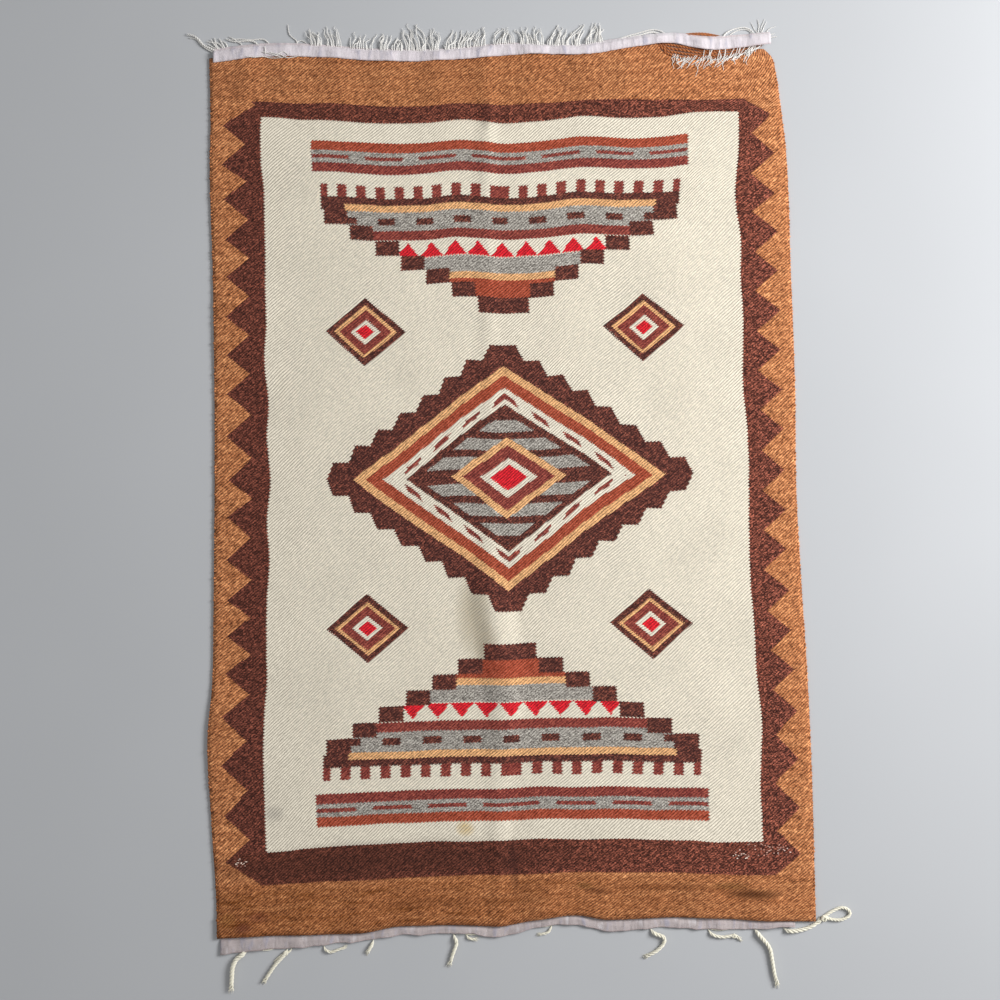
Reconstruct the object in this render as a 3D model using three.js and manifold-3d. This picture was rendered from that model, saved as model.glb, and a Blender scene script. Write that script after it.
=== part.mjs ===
// A handwoven wool rug, lying flat, with a tape sewn along each end and the warp ends left as fringe.
// Millimetres. X runs across the rug, Y along it towards the fringed upper end, Z is up from the floor.
// The origin is on the underside of the cloth, at the middle of the rug.
import * as THREE from 'three';
import { mergeVertices } from 'three/addons/utils/BufferGeometryUtils.js';
import Module from 'manifold-3d';

const wasm = await Module();
wasm.setup();

// Thicknesses and clearances
const CLOTH_THICK = 3;
const TAPE_THICK = 1;
const STRIP_GAP = 0.7;
const TAPE_CLEAR = 0.8;
const STRAND_CLEAR = 0.5;
const SAME_POINT = 1e-4;

// How the ends are bound
const CLOTH_UNDER_TAPE = 6;
const TAPE_UNDER_CLOTH = 5;
const CLOTH_OVER_TAPE = 1.6;
const OVER_TAPE_REACH = 12;
const OVER_TAPE_FADE = 34;

// The strips that the warp ends are rooted in
const TOP_STRIP_THICK = 2.9;
const BOTTOM_STRIP_THICK = 1.1;
const STRIP_INSET = 1.2;
const TAPE_OVER_STRIP = 1.45;
const TAPE_RISE_SHARE = 0.35;

// Yarns: the thin warp ends, the tan weft and the thick cords
const STRAND_WIDE = 1.2;
const STRAND_TIP = 0.6;
const LONE_TIP_SHARE = 0.6;
const STEPS_PER_POINT = 2;
const WEFT_WIDE = 2.4;
const CORD_ROOT_PLACE = 0.6;
const CORD_ROOT_HIGH = 0.95;
const CORD_ROOT_SHARE = 0.6;
const CORD_PAST_TAPE = 2.4;
const CORD_SWELL = 6;

// The cloth's mesh: its columns crowd towards the crease, and its rows towards the two ends
const COLUMNS_LEFT = 16;
const COLUMNS_RIGHT = 18;
const CREASE_SHARE = 0.479;
const CROWDING = 1.25;
const CLOTH_ROWS = 28;
const END_CROWDING = 0.6;
const TAPE_STEPS = 40;

// The two selvedges, from the lower end up
const SELVEDGES = [
  { y: -500, left: -334, right: 332.5 },
  { y: -450, left: -335, right: 333 },
  { y: -370, left: -339.5, right: 333.5 },
  { y: -280, left: -343, right: 333 },
  { y: -210, left: -337, right: 331.5 },
  { y: -110, left: -334.5, right: 328 },
  { y: 0, left: -332.5, right: 325.5 },
  { y: 110, left: -331.5, right: 327.5 },
  { y: 250, left: -332, right: 326.5 },
  { y: 370, left: -334.5, right: 325.5 },
  { y: 440, left: -333, right: 319.5 },
  { y: 510, left: -334, right: 311 },
];

// The upper end: the tape's lower and upper edges. The cloth runs a little way under the tape.
const UPPER_END = [
  { x: -330, low: 503, high: 520 },
  { x: -270, low: 508, high: 525 },
  { x: -210, low: 506, high: 522 },
  { x: -150, low: 499.5, high: 514.5 },
  { x: -90, low: 497, high: 510 },
  { x: -30, low: 498, high: 512.5 },
  { x: 25, low: 501, high: 514.5 },
  { x: 90, low: 498.5, high: 513 },
  { x: 152, low: 504, high: 516 },
  { x: 200, low: 507, high: 519 },
  { x: 238, low: 498.5, high: 513.5 },
  { x: 275, low: 500, high: 515 },
  { x: 312, low: 503, high: 518 },
];

// The lower end: the cloth's edge, and the outer edge of the tape behind it
const LOWER_END = [
  { x: -334, cloth: -497.5, tape: -516 },
  { x: -286, cloth: -495, tape: -511 },
  { x: -230, cloth: -494, tape: -507 },
  { x: -170, cloth: -492, tape: -501 },
  { x: -128, cloth: -485.5, tape: -496 },
  { x: -60, cloth: -484.5, tape: -494 },
  { x: -15, cloth: -486, tape: -498 },
  { x: 28, cloth: -479, tape: -487.5 },
  { x: 70, cloth: -475, tape: -486 },
  { x: 105, cloth: -480, tape: -493 },
  { x: 165, cloth: -478, tape: -489.5 },
  { x: 215, cloth: -479, tape: -492 },
  { x: 272, cloth: -482.5, tape: -491.5 },
  { x: 332, cloth: -484, tape: -488 },
];
const UPPER_TAPE_ENDS = { left: -329, right: 311 };
const LOWER_TAPE_ENDS = { left: -331, right: 306 };

// The lower tape from its outer edge in: it lies over the cords' strip, then on the floor under the cloth
const LOWER_TAPE_ROWS = [
  { line: 'outer', base: TAPE_OVER_STRIP },
  { line: 'risen', base: TAPE_OVER_STRIP },
  { line: 'rises', base: 0 },
  { line: 'inner', base: 0 },
];

// The soft crease left by folding the rug in half: its crest, half width and height
const CREASE = [
  { y: -490, x: -16, half: 15, high: 1.2 },
  { y: -400, x: -16, half: 17, high: 2.2 },
  { y: -320, x: -17, half: 20, high: 1.8 },
  { y: -240, x: -17, half: 30, high: 3.6 },
  { y: -160, x: -18, half: 34, high: 4.4 },
  { y: -90, x: -18, half: 26, high: 2.4 },
  { y: -20, x: -17, half: 9.5, high: 0.8 },
  { y: 40, x: -17, half: 9.5, high: 0.8 },
  { y: 150, x: -16, half: 14, high: 1.2 },
  { y: 300, x: -16, half: 14, high: 1.2 },
  { y: 420, x: -15, half: 15, high: 2 },
  { y: 505, x: -12, half: 16, high: 1.4 },
];

// Puckers where the tape gathers the cloth: place, half width, height, and how far they run in from the end
const UPPER_PUCKERS = [
  { x: -298, half: 26, high: 1.6, reach: 70 },
  { x: -243, half: 22, high: 1.1, reach: 60 },
  { x: -186, half: 27, high: 1.9, reach: 85 },
  { x: -128, half: 24, high: 1.2, reach: 60 },
  { x: -68, half: 25, high: 1.7, reach: 75 },
  { x: 42, half: 27, high: 1.8, reach: 80 },
  { x: 98, half: 23, high: 1.1, reach: 55 },
  { x: 146, half: 20, high: 1.3, reach: 60 },
];
const LOWER_PUCKERS = [
  { x: -300, half: 28, high: 1.9, reach: 80 },
  { x: -236, half: 26, high: 1.2, reach: 60 },
  { x: -168, half: 30, high: 2.4, reach: 90 },
  { x: -104, half: 24, high: 1.3, reach: 65 },
  { x: -52, half: 20, high: 1, reach: 55 },
  { x: 34, half: 26, high: 2.6, reach: 80 },
  { x: 92, half: 25, high: 1.6, reach: 70 },
  { x: 148, half: 27, high: 1.3, reach: 60 },
  { x: 210, half: 30, high: 2.2, reach: 85 },
  { x: 276, half: 28, high: 1.7, reach: 75 },
];
const PUCKER_FULL = 24;

// Low swells in the body of the cloth
const SWELLS = [
  { x: -318, y: -275, halfX: 60, halfY: 85, high: 2 },
  { x: 300, y: -190, halfX: 50, halfY: 80, high: 1.6 },
  { x: 298, y: 330, halfX: 48, halfY: 90, high: 1.5 },
  { x: -305, y: 190, halfX: 48, halfY: 80, high: 1.3 },
  { x: -150, y: -430, halfX: 90, halfY: 26, high: 1.6 },
  { x: 205, y: -446, halfX: 80, halfY: 24, high: 1.5 },
  { x: 150, y: 452, halfX: 90, halfY: 26, high: 1.2 },
];

// Where the tape stands off the frayed corner
const TAPE_LIFTS = [
  { x: 190, half: 20, high: 1.6 },
  { x: 234, half: 17, high: 2.2 },
  { x: 312, half: 52, high: 2.6 },
];

// The torn edge of the cloth below the tape, at the frayed corner
const TORN_EDGE = [
  { x: 180, y: 516 },
  { x: 185, y: 502 },
  { x: 192, y: 494 },
  { x: 204, y: 489 },
  { x: 222, y: 486.5 },
  { x: 248, y: 485.5 },
  { x: 271, y: 488 },
  { x: 286, y: 492 },
  { x: 298, y: 496.5 },
  { x: 330, y: 496.5 },
];
const TORN_TOP = 530;
const TORN_STEP = 6;
const TORN_DEPTH = 18;
const WARP_STRIP = { left: 201, right: 290, wide: 2, high: 4.3, steps: 15 };
const WARP_ENDS = {
  count: 20,
  steps: 4,
  drop: 7,
  change: 3.5,
  changeTurn: 1.3,
  lean: -1.2,
  sway: 1.1,
  swayTurn: 2.1,
};
const WARP_BENDS = [{ fall: 0.35, lean: 0.2 }, { fall: 0.7, lean: 1 }, { fall: 1, lean: 1 }];

// Loose yarn in the recess: where it turns, and where each crossing lies between the torn edge and the tape's strip
const LOOSE_WEFT = { left: 198, right: 279, steps: 8, sway: 0.3, swayTurn: 1.7, clear: 0.6 };
const WEFT_CROSSINGS = [0, 0.4, 0.78];

// The clumps of the upper fringe: the middle of their roots and tips, how wide each is, and how far they reach
const CLUMPS = [
  { root: -209, rootWide: 12, tip: -214, tipWide: 13, reach: 21, strands: 5 },
  { root: -188, rootWide: 16, tip: -191, tipWide: 16, reach: 22, strands: 6 },
  { root: -157, rootWide: 26, tip: -158, tipWide: 30, reach: 17, strands: 8 },
  { root: -131, rootWide: 9, tip: -128, tipWide: 11, reach: 18, strands: 4 },
  { root: -115, rootWide: 11, tip: -113, tipWide: 9, reach: 13, strands: 4 },
  { root: -94, rootWide: 22, tip: -99, tipWide: 19, reach: 29, strands: 9 },
  { root: -73, rootWide: 8, tip: -74, tipWide: 9, reach: 25, strands: 4 },
  { root: -54, rootWide: 12, tip: -51, tipWide: 12, reach: 21, strands: 5 },
  { root: -41, rootWide: 7, tip: -36, tipWide: 8, reach: 20, strands: 3 },
  { root: -24, rootWide: 20, tip: -21, tipWide: 17, reach: 20, strands: 8 },
  { root: 8, rootWide: 23, tip: 10, tipWide: 18, reach: 18, strands: 8 },
  { root: 33, rootWide: 15, tip: 31, tipWide: 16, reach: 19, strands: 6 },
  { root: 48, rootWide: 9, tip: 47, tipWide: 9, reach: 23, strands: 4 },
  { root: 65, rootWide: 15, tip: 70, tipWide: 12, reach: 21, strands: 6 },
  { root: 79, rootWide: 7, tip: 84, tipWide: 7, reach: 17, strands: 3 },
  { root: 91, rootWide: 8, tip: 96, tipWide: 8, reach: 22, strands: 4 },
  { root: 111, rootWide: 20, tip: 115, tipWide: 15, reach: 22, strands: 8 },
];
const CLUMP_STEPS = 3;
const CLUMP_BENDS = [{ reach: 0.15, lean: 0 }, { reach: 0.55, lean: 0.55 }, { reach: 1, lean: 1 }];
const REACH_CHANGE = [1, 0.82, 0.95, 0.74, 0.9];
const ROOT_DEPTH = 3;

// Warp ends that lie by themselves at the upper end, from root to tip
const UPPER_STRANDS = [
  { wide: 3, high: 2.2, route: [[-322, 514], [-334, 521], [-341, 524], [-346, 530], [-352, 535], [-362, 537]] },
  { wide: 2.6, high: 2, route: [[-319, 515], [-326, 522], [-332, 531]] },
  { wide: 2.2, high: 2, route: [[-314, 516], [-317, 523], [-320, 530]] },
  { wide: 2.2, high: 1.8, route: [[-276, 520], [-281, 527], [-293, 527.5], [-305, 527], [-316, 531]] },
  { wide: 1.2, high: 1.2, route: [[-235, 518], [-234, 526], [-240, 535], [-242, 545]] },
  { wide: 2.6, high: 2, route: [[126, 511], [135, 520], [150, 524], [166, 527], [178, 527], [188, 523]] },
  { wide: 2.2, high: 2, route: [[259, 510], [266, 521], [273, 524.5], [283, 524], [289, 520]] },
  { wide: 1.4, high: 1.3, route: [[296, 512], [299, 522], [298, 532]] },
  { wide: 1.4, high: 1.3, route: [[301, 512], [304, 521], [308, 529]] },
  { wide: 1.4, high: 1.3, route: [[305, 512], [310, 519.5], [318, 523]] },
  { wide: 2.6, high: 1.6, route: [[304, 509.5], [311, 510], [319, 511]] },
];

// The cords of the lower end: the place of the root on its strip, and the route from there to the tip
const LOWER_CORDS = [
  { root: -310, wide: 4.6, high: 4, route: [[-313, -519], [-318, -528], [-318, -541], [-319, -557]] },
  { root: -254, wide: 4, high: 3.6, route: [[-257, -514], [-268, -526], [-276, -537], [-282, -546]] },
  { root: -214, wide: 3, high: 2.8, route: [[-213, -510], [-206, -513.5], [-198, -511], [-190, -508.5]] },
  { root: -158, wide: 4.4, high: 3.6, route: [[-159, -504], [-165, -514]] },
  { root: -71, wide: 4, high: 3.6, route: [[-67, -498.5], [-65, -505], [-69, -516], [-73, -528]] },
  { root: -56, wide: 3, high: 2.6, route: [[-52, -499], [-43, -501]] },
  { root: 44, wide: 3, high: 2.6, route: [[38, -493], [28, -496]] },
  { root: 148, wide: 4.2, high: 3.6, route: [[154, -495], [165, -500], [165, -507], [157, -515], [145, -521]] },
  { root: 213, wide: 3.6, high: 3, route: [[218, -497], [230, -500.5], [243, -499], [250, -503]] },
  { root: 262, wide: 4.2, high: 3.8, route: [[270, -498], [281, -512], [284, -527], [286, -541], [289, -555]] },
  {
    root: 296,
    wide: 3.8,
    high: 3.4,
    route: [[300, -493.5], [312, -494], [327, -490], [341, -481.5], [353, -474.5], [371, -473]],
  },
];
const CORD_STEPS = 12;
const CORD_TIP_SHARE = 0.75;
const KNOTS = [
  { x: -257, y: -514.5, radius: 4.2, high: 4.4 },
  { x: 243, y: -499.5, radius: 4, high: 3.6 },
  { x: 342, y: -481, radius: 5.5, high: 5 },
];
const KNOT_SIDES = 8;
const KNOT_PROFILE = [
  { out: 0, up: 0 },
  { out: 0.7, up: 0 },
  { out: 1, up: 0.45 },
  { out: 0.65, up: 1 },
  { out: 0, up: 1 },
];

// A loose end of weft that lies along the tape's outer edge
const EDGE_WEFT_TIP_SHARE = 0.6;
const EDGE_WEFT = { wide: 2.2, high: 2, route: [[213, 517.4], [224, 517.9], [236, 517.4], [246, 515.8], [254, 514.1]] };

const COLOURS = {
  cream: 0xd2c8b2,
  tan: 0xb4703c,
  tape: 0xbdb3b8,
  cotton: 0xe0dccf,
  cord: 0xddd8c4,
};

/** Value of one column of a table at a place along it, on a smooth curve through the rows. */
function along(rows, key, at, column) {
  const last = rows.length - 1;
  if (at <= rows[0][key]) return rows[0][column];
  if (at >= rows[last][key]) return rows[last][column];
  const next = rows.findIndex((row) => row[key] > at);
  const slope = (index) => {
    const before = rows[Math.max(index - 1, 0)];
    const after = rows[Math.min(index + 1, last)];
    return (after[column] - before[column]) / (after[key] - before[key]);
  };
  const low = rows[next - 1];
  const high = rows[next];
  const span = high[key] - low[key];
  const t = (at - low[key]) / span;
  const rise = t * t * (3 - 2 * t);
  const leave = t * (1 - t) * (1 - t) * span * slope(next - 1);
  const arrive = t * t * (t - 1) * span * slope(next);
  return low[column] + (high[column] - low[column]) * rise + leave + arrive;
}

/** A smooth hump: 1 in the middle, 0 at and past an offset of 1. */
function hump(offset) {
  const inside = Math.max(0, 1 - offset * offset);
  return inside * inside;
}

/** 1 up to the first distance, 0 past the second, and a soft S between them. */
function fade(distance, full, none) {
  return 1 - THREE.MathUtils.smoothstep(distance, full, none);
}

/** Height of the puckers of one end at a distance in from that end. */
function puckerHeight(puckers, x, inwards) {
  return puckers.reduce(
    (sum, fold) => sum + fold.high * hump((x - fold.x) / fold.half) * fade(inwards, PUCKER_FULL, fold.reach),
    0,
  );
}

/** Height of the cloth's underside above the floor. */
function clothLift(x, y) {
  const fromTop = along(UPPER_END, 'x', x, 'low') - y;
  const fromBottom = y - along(LOWER_END, 'x', x, 'cloth');
  const creaseOffset = (x - along(CREASE, 'y', y, 'x')) / along(CREASE, 'y', y, 'half');
  const crease = along(CREASE, 'y', y, 'high') * hump(creaseOffset);
  const swells = SWELLS.reduce(
    (sum, swell) => sum + swell.high * hump(Math.hypot((x - swell.x) / swell.halfX, (y - swell.y) / swell.halfY)),
    0,
  );
  const overTape = CLOTH_OVER_TAPE * fade(fromBottom, OVER_TAPE_REACH, OVER_TAPE_FADE);
  const puckers = puckerHeight(UPPER_PUCKERS, x, fromTop) + puckerHeight(LOWER_PUCKERS, x, fromBottom);
  return crease + swells + overTape + puckers;
}

/** A closed box of columns, rows and one layer, each corner moved to where place(u, v, w) puts it. */
function bentBox(columns, rows, place) {
  const box = new THREE.BoxGeometry(1, 1, 1, columns, rows, 1);
  box.deleteAttribute('normal');
  box.deleteAttribute('uv');
  const geometry = mergeVertices(box, SAME_POINT);
  const position = geometry.getAttribute('position');
  const corner = new THREE.Vector3();
  for (let index = 0; index < position.count; index += 1) {
    corner.fromBufferAttribute(position, index).addScalar(0.5);
    position.setXYZ(index, ...place(corner.x, corner.y, corner.z));
  }
  return geometry;
}

/** A smooth curve through the points of a route on the floor. */
function smoothRoute(route) {
  return new THREE.CatmullRomCurve3(route.map(([x, y]) => new THREE.Vector3(x, y, 0)), false, 'centripetal');
}

/** A yarn lying level on a plane: a four-sided bar along a smooth route, with sizes given along its length. */
function yarn(route, steps, base, size, lengthAt = (u) => u) {
  const curve = smoothRoute(route);
  return bentBox(steps, 1, (u, v, w) => {
    const share = lengthAt(u);
    const middle = curve.getPointAt(share);
    const ahead = curve.getTangentAt(share);
    const { wide, high } = size(share);
    const side = (v - 0.5) * wide;
    return [middle.x - ahead.y * side, middle.y + ahead.x * side, base + w * high];
  });
}

/** A flattened knot resting on the floor. */
function knot({ x, y, radius, high }) {
  const points = KNOT_PROFILE.map(({ out, up }) => new THREE.Vector2(out * radius, up * high));
  const lathe = new THREE.LatheGeometry(points, KNOT_SIDES);
  return lathe.rotateX(Math.PI / 2).translate(x, y, 0);
}

/** A three.js geometry as a solid for joining and cutting. */
function toSolid(geometry) {
  const bare = geometry.clone();
  bare.deleteAttribute('normal');
  bare.deleteAttribute('uv');
  const merged = mergeVertices(bare, SAME_POINT);
  return new wasm.Manifold(new wasm.Mesh({
    numProp: 3,
    vertProperties: Float32Array.from(merged.getAttribute('position').array),
    triVerts: Uint32Array.from(merged.getIndex().array),
  }));
}

/** A solid as a three.js geometry again. */
function toGeometry(solid) {
  const mesh = solid.getMesh();
  const geometry = new THREE.BufferGeometry();
  geometry.setAttribute('position', new THREE.BufferAttribute(Float32Array.from(mesh.vertProperties), 3));
  geometry.setIndex(new THREE.BufferAttribute(Uint32Array.from(mesh.triVerts), 1));
  return geometry;
}

/** Several closed shapes joined into one body. */
function joined(geometries) {
  return toGeometry(geometries.map(toSolid).reduce((whole, next) => whole.add(next)));
}

/** Share of the width at which a column of the cloth lies. */
function columnShare(t) {
  const column = t * (COLUMNS_LEFT + COLUMNS_RIGHT);
  const count = column < COLUMNS_LEFT ? COLUMNS_LEFT : COLUMNS_RIGHT;
  const room = column < COLUMNS_LEFT ? -CREASE_SHARE : 1 - CREASE_SHARE;
  return CREASE_SHARE + room * (Math.abs(column - COLUMNS_LEFT) / count) ** CROWDING;
}

/** Share of the length at which a row of the cloth lies. */
function rowShare(t) {
  return t - (END_CROWDING * Math.sin(2 * Math.PI * t)) / (2 * Math.PI);
}

/** The height of the torn edge at a place across the rug. */
function tornEdge(x) {
  return along(TORN_EDGE, 'x', x, 'y');
}

/** The part of the corner that has frayed away, as a block to cut from the cloth. */
function frayedCorner() {
  const first = TORN_EDGE[0].x;
  const last = TORN_EDGE[TORN_EDGE.length - 1].x;
  const outline = new THREE.Shape();
  outline.moveTo(first, TORN_TOP);
  for (let x = first; x <= last; x += TORN_STEP) {
    outline.lineTo(x, tornEdge(x));
  }
  outline.lineTo(last, TORN_TOP);
  const block = new THREE.ExtrudeGeometry(outline, { depth: TORN_DEPTH, bevelEnabled: false });
  return block.translate(0, 0, -CLOTH_THICK);
}

/** The woven cloth, one sheet from end to end. */
function woolPanel() {
  const first = SELVEDGES[0].y;
  const length = SELVEDGES[SELVEDGES.length - 1].y - first;
  const sheet = bentBox(COLUMNS_LEFT + COLUMNS_RIGHT, CLOTH_ROWS, (u, v, w) => {
    const across = columnShare(u);
    const up = rowShare(v);
    const nearY = first + up * length;
    const left = along(SELVEDGES, 'y', nearY, 'left');
    const right = along(SELVEDGES, 'y', nearY, 'right');
    const x = THREE.MathUtils.lerp(left, right, across);
    const top = along(UPPER_END, 'x', x, 'low') + CLOTH_UNDER_TAPE;
    const y = THREE.MathUtils.lerp(along(LOWER_END, 'x', x, 'cloth'), top, up);
    return [x, y, clothLift(x, y) + w * CLOTH_THICK];
  });
  return toGeometry(toSolid(sheet).subtract(toSolid(frayedCorner())));
}

/** The tape over the cloth's upper end. */
function topTape() {
  const { left, right } = UPPER_TAPE_ENDS;
  return bentBox(TAPE_STEPS, 1, (u, v, w) => {
    const x = THREE.MathUtils.lerp(left, right, u);
    const low = along(UPPER_END, 'x', x, 'low');
    const y = THREE.MathUtils.lerp(low, along(UPPER_END, 'x', x, 'high'), v);
    const standing = TAPE_LIFTS.reduce((sum, lift) => sum + lift.high * hump((x - lift.x) / lift.half), 0);
    return [x, y, clothLift(x, low) + standing + CLOTH_THICK + TAPE_CLEAR + w * TAPE_THICK];
  });
}

/** Where the lower tape starts to rise over the cords' strip, and where it has risen. */
function lowerTapeLines(x) {
  const cloth = along(LOWER_END, 'x', x, 'cloth');
  const outer = along(LOWER_END, 'x', x, 'tape');
  const rises = cloth - TAPE_THICK;
  const risen = THREE.MathUtils.lerp(rises, outer, TAPE_RISE_SHARE);
  return { inner: cloth + TAPE_UNDER_CLOTH, rises, risen, outer };
}

/** The tape behind the cloth's lower end: flat on the floor under the cloth, then up over the cords' strip. */
function bottomTape() {
  const { left, right } = LOWER_TAPE_ENDS;
  const rows = LOWER_TAPE_ROWS.length - 1;
  return bentBox(TAPE_STEPS, rows, (u, v, w) => {
    const x = THREE.MathUtils.lerp(left, right, u);
    const { line, base } = LOWER_TAPE_ROWS[Math.round(v * rows)];
    return [x, lowerTapeLines(x)[line], base + w * TAPE_THICK];
  });
}

/** The edge of the upper heading strip that faces the cloth. */
function topStripInner(x) {
  return along(UPPER_END, 'x', x, 'low') + CLOTH_UNDER_TAPE + STRIP_GAP;
}

/** The heading strip under the upper tape. */
function topStrip() {
  const { left, right } = UPPER_TAPE_ENDS;
  return bentBox(TAPE_STEPS, 1, (u, v, w) => {
    const x = THREE.MathUtils.lerp(left + STRIP_INSET, right - STRIP_INSET, u);
    const outer = along(UPPER_END, 'x', x, 'high') - STRIP_INSET;
    return [x, THREE.MathUtils.lerp(topStripInner(x), outer, v), w * TOP_STRIP_THICK];
  });
}

/** A place on the lower heading strip, from its outer edge at a share of 0 to its inner edge at 1. */
function bottomStripPlace(x, share) {
  const lines = lowerTapeLines(x);
  return THREE.MathUtils.lerp(lines.outer + STRIP_INSET / 2, lines.risen - STRIP_GAP / 2, share);
}

/** The heading strip under the lower tape. */
function bottomStrip() {
  const { left, right } = LOWER_TAPE_ENDS;
  return bentBox(TAPE_STEPS, 1, (u, v, w) => {
    const x = THREE.MathUtils.lerp(left + STRIP_INSET, right - STRIP_INSET, u);
    return [x, bottomStripPlace(x, v), w * BOTTOM_STRIP_THICK];
  });
}

/** The section of a thin warp end along its length. */
function strandSize(share) {
  return { wide: THREE.MathUtils.lerp(STRAND_WIDE, STRAND_TIP, share), high: STRAND_WIDE };
}

/** The strands of one clump, fanned from their roots in the strip to their tips. */
function clumpStrands(clump, first) {
  const strands = [];
  for (let index = 0; index < clump.strands; index += 1) {
    const share = index / (clump.strands - 1) - 0.5;
    const rootX = clump.root + share * clump.rootWide;
    const tipX = clump.tip + share * clump.tipWide;
    const edge = along(UPPER_END, 'x', rootX, 'high');
    const reach = clump.reach * REACH_CHANGE[(first + index) % REACH_CHANGE.length];
    const bends = CLUMP_BENDS.map((bend) => [
      THREE.MathUtils.lerp(rootX, tipX, bend.lean),
      edge + bend.reach * reach,
    ]);
    strands.push(yarn([[rootX, edge - ROOT_DEPTH], ...bends], CLUMP_STEPS, 0, strandSize));
  }
  return strands;
}

/** The white warp ends of the upper end, on their strip. */
function topFringe() {
  const pieces = [topStrip()];
  CLUMPS.forEach((clump, index) => pieces.push(...clumpStrands(clump, index)));
  UPPER_STRANDS.forEach(({ wide, high, route }) => {
    const size = (share) => ({ wide: wide * THREE.MathUtils.lerp(1, LONE_TIP_SHARE, share), high });
    pieces.push(yarn(route, STEPS_PER_POINT * route.length, 0, size));
  });
  return joined(pieces);
}

/** A thick cord that is thin under the tape and swells to its full size past it. */
function lowerCord({ root, wide, high, route }) {
  const rootY = bottomStripPlace(root, CORD_ROOT_PLACE);
  const whole = [[root, rootY], ...route];
  const length = smoothRoute(whole).getLength();
  const covered = rootY - along(LOWER_END, 'x', root, 'tape') + CORD_PAST_TAPE;
  const thin = covered / length;
  const swell = CORD_SWELL / length;
  const first = 1 / CORD_STEPS;
  const lengthAt = (u) => (u <= first ? u * (thin / first) : thin + ((u - first) / (1 - first)) * (1 - thin));
  const size = (share) => {
    const full = THREE.MathUtils.smoothstep(share, thin, thin + swell);
    const tip = THREE.MathUtils.lerp(1, CORD_TIP_SHARE, share);
    return {
      wide: wide * THREE.MathUtils.lerp(CORD_ROOT_SHARE, tip, full),
      high: THREE.MathUtils.lerp(CORD_ROOT_HIGH, high, full),
    };
  };
  return yarn(whole, CORD_STEPS, 0, size, lengthAt);
}

/** The cream cords of the lower end, on their strip. */
function bottomCords() {
  return joined([bottomStrip(), ...LOWER_CORDS.map(lowerCord), ...KNOTS.map(knot)]);
}

/** Yarn that has come out of the frayed corner: it runs to and fro between the torn edge and the tape. */
function looseWefts() {
  const { left, right, steps, sway, swayTurn, clear } = LOOSE_WEFT;
  const room = clear + sway + WEFT_WIDE / 2;
  const route = [];
  WEFT_CROSSINGS.forEach((height, row) => {
    for (let step = 0; step <= steps; step += 1) {
      const share = row % 2 === 0 ? step / steps : 1 - step / steps;
      const x = THREE.MathUtils.lerp(left, right, share);
      const low = tornEdge(x) + STRIP_GAP + WARP_STRIP.wide + room;
      const high = topStripInner(x) - room;
      route.push([x, THREE.MathUtils.lerp(low, high, height) + sway * Math.sin(step * swayTurn + row)]);
    }
  });
  const size = () => ({ wide: WEFT_WIDE, high: WEFT_WIDE });
  return yarn(route, STEPS_PER_POINT * route.length, 0, size);
}

/** Curly warp ends that have fallen back over the face of the cloth, on the strip along the torn edge. */
function frayedWarps() {
  const { left, right, wide, high, steps } = WARP_STRIP;
  const ends = WARP_ENDS;
  const strip = bentBox(steps, 1, (u, v, w) => {
    const x = THREE.MathUtils.lerp(left, right, u);
    return [x, tornEdge(x) + STRIP_GAP + v * wide, w * high];
  });
  const base = CLOTH_THICK + STRAND_CLEAR;
  const strands = [];
  for (let index = 0; index < ends.count; index += 1) {
    const x = THREE.MathUtils.lerp(left + STRAND_WIDE, right - STRAND_WIDE, index / (ends.count - 1));
    const y = tornEdge(x) + STRIP_GAP + wide / 2;
    const lean = ends.lean + ends.sway * Math.sin(index * ends.swayTurn);
    const fall = ends.drop + ends.change * Math.sin(index * ends.changeTurn + 1);
    const bends = WARP_BENDS.map((bend) => [x + bend.lean * lean, y - bend.fall * fall]);
    strands.push(yarn([[x, y], ...bends], ends.steps, base, strandSize));
  }
  return joined([strip, ...strands]);
}

/** The tan yarn that shows past the upper tape. */
function edgeWeft() {
  const { wide, high, route } = EDGE_WEFT;
  const size = (share) => ({ wide: wide * THREE.MathUtils.lerp(EDGE_WEFT_TIP_SHARE, 1, hump(2 * share - 1)), high });
  return yarn(route, STEPS_PER_POINT * route.length, 0, size);
}

/** A named piece of the rug in one colour. */
function piece(name, geometry, color) {
  const material = new THREE.MeshStandardMaterial({ color, roughness: 0.9, metalness: 0 });
  const mesh = new THREE.Mesh(geometry, material);
  mesh.name = name;
  return mesh;
}

const rug = new THREE.Group();
rug.add(piece('wool_panel', woolPanel(), COLOURS.cream));
rug.add(piece('top_tape', topTape(), COLOURS.tape));
rug.add(piece('bottom_tape', bottomTape(), COLOURS.tape));
rug.add(piece('top_fringe', topFringe(), COLOURS.cotton));
rug.add(piece('bottom_cords', bottomCords(), COLOURS.cord));
rug.add(piece('loose_wefts', looseWefts(), COLOURS.tan));
rug.add(piece('frayed_warps', frayedWarps(), COLOURS.cotton));
rug.add(piece('edge_weft', edgeWeft(), COLOURS.tan));

export default rug;
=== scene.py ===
"""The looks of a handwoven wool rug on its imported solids: weave, dyes, tapes, fringe, cords and frayed corner.

Shapes are worked out in millimetres, in the solids' frame: X across, Y towards the fringed end, Z up.
"""

import logging
import math
import random
from bisect import bisect_right
from collections.abc import Callable, Sequence
from dataclasses import dataclass, field
from enum import Enum
from typing import NamedTuple

import bmesh
import bpy
from mathutils import Matrix, Vector, noise


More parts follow.
